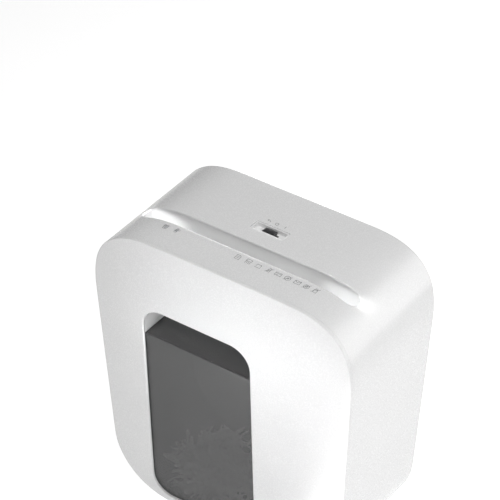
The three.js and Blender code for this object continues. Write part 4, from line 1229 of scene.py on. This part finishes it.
@dataclass
class Pen:
    """Draws thin inked strokes that lie on the top of the body."""

    bm: bmesh.types.BMesh
    height: float
    x: float = 0.0
    y: float = 0.0
    half: float = 0.003
    width: float = 0.00042

    def at(self, x: float, y: float, half: float) -> "Pen":
        """Returns a pen for a sign whose middle and half size are given."""
        return Pen(self.bm, self.height, x, y, half)

    def line(self, *points: Point, closed: bool = False) -> None:
        """Draws a stroke through points of the sign, whose sides run from -1 to 1.

        Args:
            points: the stroke's corners.
            closed: True to join the last point to the first.
        """
        places = [*points, points[0]] if closed else list(points)
        for a, b in zip(places, places[1:]):
            start, end = Vector(a) * self.half, Vector(b) * self.half
            run = end - start
            middle = (start + end) / 2
            turn = Matrix.Rotation(math.atan2(run.y, run.x), 4, "Z")
            size = Matrix.Diagonal((run.length + self.width, self.width, 1.0, 1.0))
            spot = Matrix.Translation((self.x + middle.x, self.y + middle.y, 0.0)) @ turn @ size
            made = bmesh.ops.create_grid(self.bm, x_segments=2, y_segments=1, size=0.5, matrix=spot)
            for v in made["verts"]:
                v.co.z = FORM.top_height(v.co.x) + self.height

    def round(self, centre: Point, radius: float, steps: int = 14) -> None:
        """Draws a circle in the sign."""
        self.line(*circle(centre, radius, steps), closed=True)

    def barred(self) -> None:
        """Draws the slanting bar of a sign that says no."""
        self.line((-0.95, -0.95), (0.95, 0.95))


class Signs:
    """The generic signs, each drawn with a pen that stands at its place."""

    @staticmethod
    def bin_full(pen: Pen) -> None:
        """A waste bin with its lid."""
        pen.line((-0.7, 0.45), (-0.5, -0.95), (0.5, -0.95), (0.7, 0.45), closed=True)
        pen.line((-0.9, 0.75), (0.9, 0.75))
        pen.line((-0.15, 0.2), (-0.1, -0.6))
        pen.line((0.25, 0.2), (0.2, -0.6))

    @staticmethod
    def too_warm(pen: Pen) -> None:
        """A thermometer."""
        pen.round((0.0, -0.6), 0.38, 10)
        pen.line((-0.18, -0.3), (-0.18, 0.9), (0.18, 0.9), (0.18, -0.3))
        pen.line((0.5, 0.6), (0.9, 0.6))
        pen.line((0.5, 0.1), (0.9, 0.1))

    @staticmethod
    def sheets(pen: Pen) -> None:
        """Two sheets with a folded corner."""
        pen.line((-0.8, -0.9), (-0.8, 0.9), (0.2, 0.9), (0.6, 0.5), (0.6, -0.9), closed=True)
        pen.line((-0.4, 0.3), (0.2, 0.3))
        pen.line((-0.4, -0.2), (0.2, -0.2))

    @staticmethod
    def strips(pen: Pen) -> None:
        """A sheet going into strips."""
        pen.line((-0.8, 0.1), (-0.8, 0.9), (0.8, 0.9), (0.8, 0.1), closed=True)
        for x in (-0.7, -0.25, 0.25, 0.7):
            pen.line((x, -0.1), (x, -0.9))

    @staticmethod
    def staple(pen: Pen) -> None:
        """A staple over a sheet's corner."""
        pen.line((-0.7, -0.3), (-0.7, 0.5), (0.7, 0.5), (0.7, -0.3))
        pen.line((-0.9, -0.8), (0.9, -0.8))

    @staticmethod
    def clip(pen: Pen) -> None:
        """A paper clip with a bar through it."""
        pen.line((-0.4, 0.5), (-0.4, -0.7), (0.4, -0.7), (0.4, 0.9), (-0.1, 0.9), (-0.1, -0.3))
        pen.barred()

    @staticmethod
    def card(pen: Pen) -> None:
        """A plastic card."""
        pen.line((-0.95, -0.6), (-0.95, 0.6), (0.95, 0.6), (0.95, -0.6), closed=True)
        pen.line((-0.95, 0.25), (0.95, 0.25))
        pen.line((-0.6, -0.25), (0.0, -0.25))

    @staticmethod
    def disc(pen: Pen) -> None:
        """A disc with a bar through it."""
        pen.round((0.0, 0.0), 0.85)
        pen.round((0.0, 0.0), 0.25, 8)
        pen.barred()

    @staticmethod
    def envelope(pen: Pen) -> None:
        """An envelope."""
        pen.line((-0.9, -0.65), (-0.9, 0.65), (0.9, 0.65), (0.9, -0.65), closed=True)
        pen.line((-0.9, 0.65), (0.0, -0.1), (0.9, 0.65))

    @staticmethod
    def hand(pen: Pen) -> None:
        """A hand kept away from the opening, as a circle with fingers and a bar."""
        pen.round((0.0, -0.1), 0.8)
        pen.line((-0.3, -0.5), (-0.3, 0.4))
        pen.line((0.0, -0.5), (0.0, 0.5))
        pen.line((0.3, -0.5), (0.3, 0.4))
        pen.barred()

    @staticmethod
    def oil(pen: Pen) -> None:
        """A can with a bar through it."""
        pen.line((-0.5, -0.85), (-0.5, 0.4), (0.5, 0.4), (0.5, -0.85), closed=True)
        pen.line((-0.2, 0.4), (-0.2, 0.85), (0.3, 0.85), (0.3, 0.4))
        pen.barred()


@dataclass
class ModeSwitch:
    """The slide switch behind the slot: a sunk bezel, a ribbed knob and three marks."""

    y: float = 0.012
    length: float = 0.0434
    width: float = 0.0144
    floor_z: float = 0.380
    lip: float = 0.0015
    corner: float = 0.0015
    track_half: float = 0.011
    track_width: float = 0.004
    wall: float = 0.0007
    knob_length: float = 0.015
    knob_width: float = 0.007
    knob_round: float = 0.0009
    rib_pitch: float = 0.0022
    rib_half: float = 0.0005
    rib_count: int = 5
    stem_half_length: float = 0.0032
    stem_half_width: float = 0.0014
    small_round: float = 0.0003
    mark_gap: float = 0.0135
    mark_x: float = 0.011
    mark_half: float = 0.0022

    def bezel(self) -> None:
        """Makes the bezel as a frame, a sunk floor and the knob's track."""
        sheet = Sheet()
        top = FORM.top_z - 0.0005
        middle = (0.0, self.y)
        rim = 0.0008
        lip = 2 * self.lip
        outer = sheet.ring(rounded_box(middle, self.length - rim, self.width - rim, self.corner, 5), top)
        hollow = rounded_box(middle, self.length - lip, self.width - lip, self.corner * 0.6, 5)
        inner = sheet.ring(hollow, top)
        sheet.fill(outer, inner)
        skirt = sheet.step(outer, -0.0004, -0.0004)
        sheet.step(skirt, 0.0, -0.0042)
        floor = sheet.step(sheet.step(inner, 0.0002, -0.0002), 0.0004, self.floor_z - top + 0.0002)
        channel = rounded_box(middle, 2 * self.track_half, self.track_width, 0.0008, 4)
        track = sheet.ring(channel, floor[0].co.z)
        sheet.fill(floor, track)
        sheet.step(track, 0.0, -0.0012)
        sheet.face(UP)
        sheet.thicken(self.wall)
        Piece("switch_bezel_frame", Body.HOUSING, Slot.WHITE_TRIM, ("switch_bezel",)).deliver(sheet.bm)

    def knob(self) -> None:
        """Makes the knob, a rounded cap with grip ribs, on its stem."""
        bm = bmesh.new()
        low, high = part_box("switch_knob")
        half_x, half_y = self.knob_length / 2, self.knob_width / 2
        base = self.floor_z + 0.0003
        cap_top = high.z - 0.0005
        cap_low = Vector((-half_x, self.y - half_y, base))
        solid_box(bm, cap_low, Vector((half_x, self.y + half_y, cap_top)), self.knob_round, 3)
        for i in range(self.rib_count):
            x = (i - 2) * self.rib_pitch
            rib_low = Vector((x - self.rib_half, self.y - half_y + 0.001, cap_top - 0.0006))
            rib_high = Vector((x + self.rib_half, self.y + half_y - 0.001, high.z))
            solid_box(bm, rib_low, rib_high, self.small_round)
        stem_x, stem_y = self.stem_half_length, self.stem_half_width
        stem_low = Vector((-stem_x, self.y - stem_y, low.z))
        solid_box(bm, stem_low, Vector((stem_x, self.y + stem_y, base + 0.001)), self.small_round)
        Piece("mode_knob_cap", Body.KNOB, Slot.DARK, ("switch_knob",)).deliver(bm)

    def marks(self) -> None:
        """Prints a reverse arrow, an off ring and an on bar behind the switch."""
        bm = bmesh.new()
        pen = Pen(bm, INK_HEIGHT)
        y = self.y + self.mark_gap
        back = pen.at(-self.mark_x, y, 0.0024)
        back.line((0.9, -0.5), (0.9, 0.4), (-0.7, 0.4))
        back.line((-0.2, 0.9), (-0.8, 0.4), (-0.2, -0.1))
        pen.at(0.0, y, self.mark_half).round((0.0, 0.0), 0.9)
        pen.at(self.mark_x, y, self.mark_half).line((0.0, -0.9), (0.0, 0.9))
        Piece("switch_marks", Body.HOUSING, Slot.DARK, finish=PRINT_INK).deliver(bm)

    def build(self) -> None:
        """Builds the switch."""
        self.bezel()
        self.knob()
        self.marks()


# ---------------------------------------------------------------- bin


@dataclass
class Bin:
    """The pull-out bin: its white face, smoked window, finger recess, tub and contents."""

    rim: float = 0.0045
    edge: float = 0.0012
    cut_edge: float = 0.0021
    skin: float = 0.0026
    face_wall: float = 0.0018
    margin: float = 0.0006
    pane_front: float = 0.0029
    pane_wall: float = 0.0022
    lap: float = 0.0048
    pane_corner: float = 0.0022
    recess_wall: float = 0.0014
    recess_foot: float = 0.004
    tub_inset: float = 0.006
    tub_foot: float = 0.004
    tub_wall: float = 0.0019
    tub_top: float = 0.249
    tub_back: float = 0.066
    tub_front: float = 0.0055
    runner_places: tuple[float, ...] = (-0.048, 0.048)
    runner_half: float = 0.003
    runner_reach: float = 0.058
    runner_low: float = 0.0073
    runner_high: float = 0.0112
    shred_count: int = 460
    shred_width: float = 0.004
    shred_wall: float = 0.00015
    heap_left: float = -0.094
    heap_right: float = 0.034
    heap_peak: float = -0.045
    heap_top: float = 0.080
    heap_slope: float = 0.24
    heap_height: float = 0.060
    heap_depth: float = 0.07
    heap_foot: float = 0.0145

    def face(self) -> None:
        """Makes the bin's face: a crowned panel with rolled edges and the window's cut-out."""
        sheet = Sheet()
        border = sheet.ring(FORM.outline(self.edge + self.margin))
        cut = sheet.ring(WINDOW.outline(self.cut_edge + self.margin))
        sheet.fill(border, cut)
        rim = sheet.lip(border, self.edge, False, self.margin)
        sheet.step(rim, 0.0, self.edge - self.rim)
        foot = sheet.lip(cut, self.cut_edge, True, self.margin)
        sheet.step(foot, 0.0, self.cut_edge - self.skin)
        sheet.slice(RIGHT, [0.0135 * i for i in range(-12, 13)])
        sheet.slice(BACKWARD, [0.012 + 0.0125 * i for i in range(30)])
        sheet.lay(FORM.on_front)
        sheet.face(FRONTWARD)
        sheet.thicken(self.face_wall)
        Piece("bin_face_panel", Body.BIN, Slot.WHITE_SHELL, ("bin_front",)).deliver(sheet.bm)

    def window(self) -> None:
        """Makes the smoked window, a pane that turns over a round edge into the shelf behind it.

        The rows across its foot lie closer together, where its lower corners are rounded.
        """
        bm = bmesh.new()
        corner = self.pane_corner
        shelf = WINDOW.shelf_z
        low = WINDOW.bottom - self.lap
        bend = WINDOW.radius + self.lap
        rows = 8
        heights = [low + bend * i * i / rows**2 for i in range(rows)]
        heights += [low + bend + (shelf - corner - low - bend) * i / 10 for i in range(11)]
        pane = [(self.pane_place(z), z) for z in heights]
        front = self.pane_place(shelf)
        centre = (front + corner, shelf - corner)
        turn = arc(centre, corner, math.pi, 0.5 * math.pi, 6)
        back = FORM.front(shelf) + WINDOW.recess_depth + 0.001
        profile = [*pane[:-1], *turn, (back, shelf)]
        left, right = WINDOW.left - self.lap, WINDOW.right + self.lap
        band(bm, [Vector((left, y, z)) for y, z in profile], Vector((right - left, 0.0, 0.0)))
        for v in bm.verts:
            short = max(0.0, bend - (v.co.z - low))
            inset = bend - math.sqrt(bend * bend - short * short)
            v.co.x = left + inset if v.co.x < 0.5 * (left + right) else right - inset
        bm.normal_update()
        total = sum((f.normal * f.calc_area() for f in bm.faces), Vector())
        if total.dot(FRONTWARD) < 0.0:
            bmesh.ops.reverse_faces(bm, faces=bm.faces)
        bmesh.ops.solidify(bm, geom=bm.faces, thickness=self.pane_wall)
        Piece("bin_window_pane", Body.BIN, Slot.SMOKE, ("bin_window",)).deliver(bm)

    def pane_place(self, z: float) -> float:
        """The pane's outer face at a height, behind the face panel."""
        return FORM.front(z) + self.pane_front

    def recess(self) -> None:
        """Makes the finger recess, a white pocket over the shelf, open to the front."""
        sheet = Sheet()
        mouth = sheet.ring(WINDOW.outline(0.0), -self.skin - 0.0001)
        wall = sheet.step(mouth, 0.0, -(WINDOW.recess_depth - self.skin - self.recess_foot))
        sheet.fill(sheet.foot(wall, self.recess_foot))
        sheet.trim(WINDOW.shelf_z + 0.0003, True)
        sheet.lay(lambda p: Vector((p.x, FORM.front(p.y) - p.z, p.y)))
        sheet.face(FRONTWARD, True)
        sheet.thicken(self.recess_wall)
        Piece("finger_recess_liner", Body.BIN, Slot.WHITE_TRIM, ("finger_recess",)).deliver(sheet.bm)

    def tub(self) -> None:
        """Makes the tub: a box that follows the housing, with a window-shaped hole in its front."""
        sheet = Sheet()
        depth = self.tub_back - FORM.front_y - self.tub_front
        rounding = self.tub_foot
        outer = sheet.ring(FORM.outline(self.tub_inset + rounding))
        sight = sheet.ring(WINDOW.outline(-0.001))
        sheet.fill(outer, sight)
        front_foot = sheet.lip(outer, rounding, False, 0.0)
        wall = sheet.step(front_foot, 0.0, -(depth - 2 * rounding))
        sheet.fill(sheet.foot(wall, rounding))
        sheet.trim(self.tub_top, False)
        sheet.lay(lambda p: self.tub_point(p, depth))
        bmesh.ops.remove_doubles(sheet.bm, verts=sheet.bm.verts, dist=WELD)
        bmesh.ops.recalc_face_normals(sheet.bm, faces=sheet.bm.faces)
        sheet.thicken(self.tub_wall)
        for x in self.runner_places:
            low = Vector((x - self.runner_half, -self.runner_reach, self.runner_low))
            high = Vector((x + self.runner_half, self.runner_reach, self.runner_high))
            solid_box(sheet.bm, low, high, 0.0008)
        Piece("waste_tub", Body.BIN, Slot.SMOKE, ("bin_tub",), 50.0).deliver(sheet.bm)

    def tub_point(self, p: Vector, depth: float) -> Vector:
        """Lays a point of the flat tub: the front leans with the bin's face, the back is upright."""
        near = FORM.front(p.y) + self.tub_front
        share = -p.z / depth
        return Vector((p.x, near + share * (self.tub_back - near), p.y))

    def shreds(self) -> None:
        """Fills the foot of the tub with curled cross-cut shreds, heaped behind the window."""
        bm = bmesh.new()
        draw = random.Random(7)
        for _ in range(self.shred_count):
            made = bmesh.ops.create_grid(bm, x_segments=6, y_segments=1, size=0.5)
            length = draw.uniform(0.022, 0.034)
            bend = draw.uniform(-2.6, 2.6)
            twist = draw.uniform(-0.8, 0.8)
            x = draw.triangular(self.heap_left, self.heap_right, self.heap_peak)
            top = self.heap_top - self.heap_slope * abs(x - self.heap_peak)
            height = top - draw.random() ** 1.4 * self.heap_height
            y = self.pane_place(height) + 0.012 + draw.random() ** 2 * self.heap_depth
            turn = Matrix.Rotation(draw.uniform(0.0, 6.28), 4, "Z")
            tumble = Matrix.Rotation(draw.uniform(0.0, 6.28), 4, "X")
            place = Matrix.Translation((x, y, height)) @ (turn @ tumble)
            for v in made["verts"]:
                t = v.co.x
                across = v.co.y * self.shred_width
                angle = bend * t
                radius = length / bend if abs(bend) > 0.05 else length * 20.0
                v.co = Vector((radius * math.sin(angle), across, radius * (1.0 - math.cos(angle))))
                v.co = Matrix.Rotation(twist * t, 3, "X") @ v.co
                v.co = place @ v.co
                v.co.y = max(v.co.y, self.pane_place(v.co.z) + self.pane_wall + 0.0011)
                v.co.y = min(v.co.y, self.tub_back - 0.004)
                v.co.z = max(v.co.z, self.heap_foot)
        made = Piece("paper_shreds", Body.BIN, Slot.WHITE_TRIM, finish=PAPER).deliver(bm)
        wall = made.modifiers.new("paper", "SOLIDIFY")
        wall.thickness = self.shred_wall

    def build(self) -> None:
        """Builds the bin."""
        self.face()
        self.window()
        self.recess()
        self.tub()
        self.shreds()


# ---------------------------------------------------------------- cutter head


@dataclass
class CutterHead:
    """The two cutter rollers and the dressed mechanical nodes round them."""

    nip_z: float = 0.328
    axis_y: tuple[float, ...] = (-0.04375, -0.01075)
    disc_radius: float = 0.019
    disc_width: float = 0.0049
    pitch: float = 0.011
    count: int = 20
    hooks: int = 9
    shaft: float = 0.006
    core: float = 0.0124
    core_ends: tuple[float, float] = (-0.1148, 0.1118)
    turn_step: float = 0.35
    blades: int = 8

    def disc_outline(self, turn: float) -> list[Point]:
        """Outline of a cutter disc with hooked teeth.

        Args:
            turn: the disc's turn about its shaft.

        Returns:
            Across and up from the shaft.
        """
        points = []
        for i in range(self.hooks):
            start = turn + 2.0 * math.pi * i / self.hooks
            pitch = 2.0 * math.pi / self.hooks
            for share, height in ((0.0, 1.0), (0.06, 0.86), (0.35, 0.91), (0.65, 0.95), (0.9, 0.985)):
                a = start + pitch * share
                radius = height * self.disc_radius
                points.append((radius * math.cos(a), radius * math.sin(a)))
        return points

    def roller(self, node: str, body: Body, y: float, offset: float) -> None:
        """Makes one cutter roller, a shaft with its hooked discs.

        Args:
            node: the CAD node that it stands for.
            body: the body that it rides on.
            y: the shaft's place along the depth.
            offset: shift of the first disc.
        """
        bm = bmesh.new()
        low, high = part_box(node)
        along = Matrix.Translation((0.0, y, self.nip_z)) @ Matrix.Rotation(0.5 * math.pi, 4, "Y")
        core_low, core_high = self.core_ends
        profile = [
            (0.0, low.x),
            (self.shaft - 0.0006, low.x),
            (self.shaft, low.x + 0.0006),
            (self.shaft, core_low),
            (self.core, core_low),
            (self.core, core_high),
            (self.shaft, core_high),
            (self.shaft, high.x - 0.0006),
            (self.shaft - 0.0006, high.x),
            (0.0, high.x),
        ]
        turned(bm, profile, along, 36)
        for i in range(self.count):
            x = -self.count * self.pitch / 2 + offset + i * self.pitch
            outline = [Vector((x, y + u, self.nip_z + v)) for u, v in self.disc_outline(self.turn_step * i)]
            prism(bm, outline, Vector((self.disc_width, 0.0, 0.0)))
        Piece(f"{node}_discs", body, Slot.CUTTER, (node,), 25.0).deliver(bm)

    def fan(self) -> None:
        """Makes the motor's cooling fan with curved blades."""
        bm = bmesh.new()
        low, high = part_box("motor_fan")
        y, z = (low.y + high.y) / 2, (low.z + high.z) / 2
        reach = (high.z - low.z) / 2
        along = Matrix.Translation((low.x, y, z)) @ Matrix.Rotation(0.5 * math.pi, 4, "Y")
        depth = high.x - low.x
        turned(bm, [(0.0029, 0.0), (0.006, 0.0), (0.006, depth), (0.0029, depth), (0.0029, 0.0)], along, 28)
        for i in range(self.blades):
            a = 2.0 * math.pi * i / self.blades
            outline = [Vector((0.001, -0.0006, 0.0045)), Vector((0.001, 0.0006, 0.0045))]
            outline += [Vector((0.001, 0.0016, reach - 0.001)), Vector((0.001, 0.0004, reach - 0.001))]
            turn = Matrix.Rotation(a, 4, "X")
            placed = [Vector((low.x, y, z)) + turn @ p for p in outline]
            prism(bm, placed, Vector((depth - 0.001, 0.0, 0.0)))
        Piece("motor_fan_blades", Body.ROTOR, Slot.DARK, ("motor_fan",)).deliver(bm)

    def build(self) -> None:
        """Builds the rollers and the fan."""
        self.roller("cutter_roller_front", Body.FRONT_CUTTER, self.axis_y[0], 0.0)
        self.roller("cutter_roller_rear", Body.REAR_CUTTER, self.axis_y[1], self.pitch / 2)
        self.fan()


def dress_frame() -> None:
    """Gives every CAD node the finish of its slot in the record."""
    for entry in frame["record"]["subparts"]:
        node = frame["nodes"][entry["node"]]
        node.data.materials.clear()
        node.data.materials.append(PALETTE.slot(Slot(entry["material_slot"])))
        LOG.info("%s dressed as %s", entry["node"], entry["material_slot"])


# ---------------------------------------------------------------- studio


@dataclass(frozen=True)
class SoftLight:
    """A rectangular area light, which the camera does not see.

    Args:
        name: the light's name.
        place: where it stands.
        aim: the point that it looks at.
        size: length of its sides.
        power: power in watts.
        spread: how wide it shines, in degrees.
        diffuse: True if it lights surfaces.
        glossy: True if it shows in reflections.
        turn: turn about its own line of sight, in degrees.
    """

    name: str
    place: tuple[float, float, float]
    aim: tuple[float, float, float]
    size: tuple[float, float]
    power: float
    spread: float = 180.0
    diffuse: bool = True
    glossy: bool = True
    turn: float = 0.0

    def build(self) -> None:
        """Adds the light to the scene."""
        data = bpy.data.lights.new(self.name, "AREA")
        data.shape = "RECTANGLE"
        data.size, data.size_y = self.size
        data.energy = self.power
        data.spread = math.radians(self.spread)
        made = bpy.data.objects.new(self.name, data)
        bpy.context.scene.collection.objects.link(made)
        made.location = self.place
        look = Vector(self.aim) - Vector(self.place)
        roll = Quaternion((0.0, 0.0, 1.0), math.radians(self.turn))
        made.rotation_mode = "QUATERNION"
        made.rotation_quaternion = look.to_track_quat("-Z", "Y") @ roll
        made.visible_camera = False
        made.visible_diffuse = self.diffuse
        made.visible_glossy = self.glossy


@dataclass
class Studio:
    """The floor, the lights and the camera."""

    ambient: float = 0.125
    floor_glow: float = 0.6
    camera_place: tuple[float, float, float] = (1.15035, -1.66323, 1.90434)
    camera_aim: tuple[float, float, float] = (0.04112, -0.0845, 0.43614)
    lens: float = 168.5
    lights: tuple[SoftLight, ...] = (
        SoftLight("upper_right", (1.25, 0.1, 1.35), (0.12, 0.0, 0.3), (0.8, 0.8), 6.6, glossy=False),
        SoftLight("right_rake", (1.4, -0.42, 0.5), (0.0, -0.08, 0.2), (0.5, 0.5), 2.2, glossy=False),
        SoftLight("top_back", (0.0, 0.3, 2.0), (0.0, 0.0, 0.35), (1.2, 1.2), 8.4, glossy=False),
        SoftLight("top_front", (0.0, -0.9, 1.7), (0.0, 0.0, 0.35), (0.7, 0.5), 7.3, glossy=False),
        SoftLight("patch", (0.45, -1.5, 0.36), (0.1, -0.08, 0.262), (0.12, 0.3), 0.1, 21.0, glossy=False),
        SoftLight(
            "patch_left", (0.2, -1.5, 0.36), (0.0, -0.08, 0.315), (0.1, 0.1), 0.022,
            12.0, glossy=False,
        ),
        SoftLight("shoulder_card", (1.05, 0.95, 0.6), (0.14, 0.0, 0.33), (0.9, 1.3), 8.0, diffuse=False),
        SoftLight("shoulder_wall", (1.4, 1.3, 0.9), (0.14, 0.0, 0.33), (2.0, 2.2), 18.0, diffuse=False),
        SoftLight(
            "front_card", (-0.05, -0.385, 0.002), (-0.05, -0.385, 1.0), (0.28, 0.12), 0.3,
            diffuse=False, turn=-20.0,
        ),
        SoftLight("rim_card", (0.2, -0.27, 0.003), (0.2, -0.27, 1.0), (0.26, 0.26), 3.6, diffuse=False),
        SoftLight("lip_card", (-1.95, 3.5, 1.0), (0.0, 0.0, 0.38), (0.5, 1.3), 40.0, diffuse=False),
        SoftLight(
            "slot_lamp", (0.0, -0.036, 0.392), (0.0, -0.017, 0.365), (0.16, 0.003), 0.0016,
            60.0, glossy=False,
        ),
        SoftLight(
            "slot_left", (-0.122, -0.036, 0.386), (-0.122, -0.018, 0.364), (0.06, 0.003), 0.003,
            60.0, glossy=False,
        ),
        SoftLight(
            "slot_right", (0.122, -0.036, 0.386), (0.122, -0.018, 0.364), (0.06, 0.003), 0.0022,
            60.0, glossy=False,
        ),
    )

    def floor(self) -> None:
        """Makes the pale floor."""
        bm = bmesh.new()
        bmesh.ops.create_grid(bm, x_segments=4, y_segments=4, size=4.0)
        mesh = bpy.data.meshes.new("floor")
        bm.to_mesh(mesh)
        bm.free()
        made = bpy.data.objects.new("floor", mesh)
        bpy.context.scene.collection.objects.link(made)
        look = PALETTE.get(FLOOR, "pale_floor")
        shader = look.node_tree.nodes["Principled BSDF"]
        shader.inputs["Emission Color"].default_value = (1.0, 1.0, 1.0, 1.0)
        shader.inputs["Emission Strength"].default_value = self.floor_glow
        mesh.materials.append(look)

    def world(self) -> None:
        """Sets an even pale sky."""
        sky = bpy.data.worlds.new("studio")
        sky.use_nodes = True
        back = sky.node_tree.nodes["Background"]
        back.inputs["Color"].default_value = (1.0, 1.0, 1.0, 1.0)
        back.inputs["Strength"].default_value = self.ambient
        bpy.context.scene.world = sky

    def camera(self) -> None:
        """Makes the camera and looks at the body from its right front, above."""
        data = bpy.data.cameras.new("camera")
        data.lens = self.lens
        data.sensor_width = 36.0
        made = bpy.data.objects.new("camera", data)
        bpy.context.scene.collection.objects.link(made)
        made.location = self.camera_place
        look = Vector(self.camera_aim) - Vector(self.camera_place)
        made.rotation_mode = "QUATERNION"
        made.rotation_quaternion = look.to_track_quat("-Z", "Y")
        bpy.context.scene.camera = made

    def build(self) -> None:
        """Builds the studio."""
        self.camera()
        self.floor()
        self.world()
        for light in self.lights:
            light.build()
        bpy.context.scene.view_settings.view_transform = "Standard"


def main() -> None:
    """Builds the studio and every sub-assembly."""
    logging.basicConfig(level=logging.INFO, format="%(name)s: %(message)s")
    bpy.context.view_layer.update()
    Studio().build()
    dress_frame()
    housing = Housing()
    housing.build()
    PaperPath().build(housing.lens_places, housing.lens_radius)
    ModeSwitch().build()
    Bin().build()
    CutterHead().build()


if __name__ == "__main__":
    main()
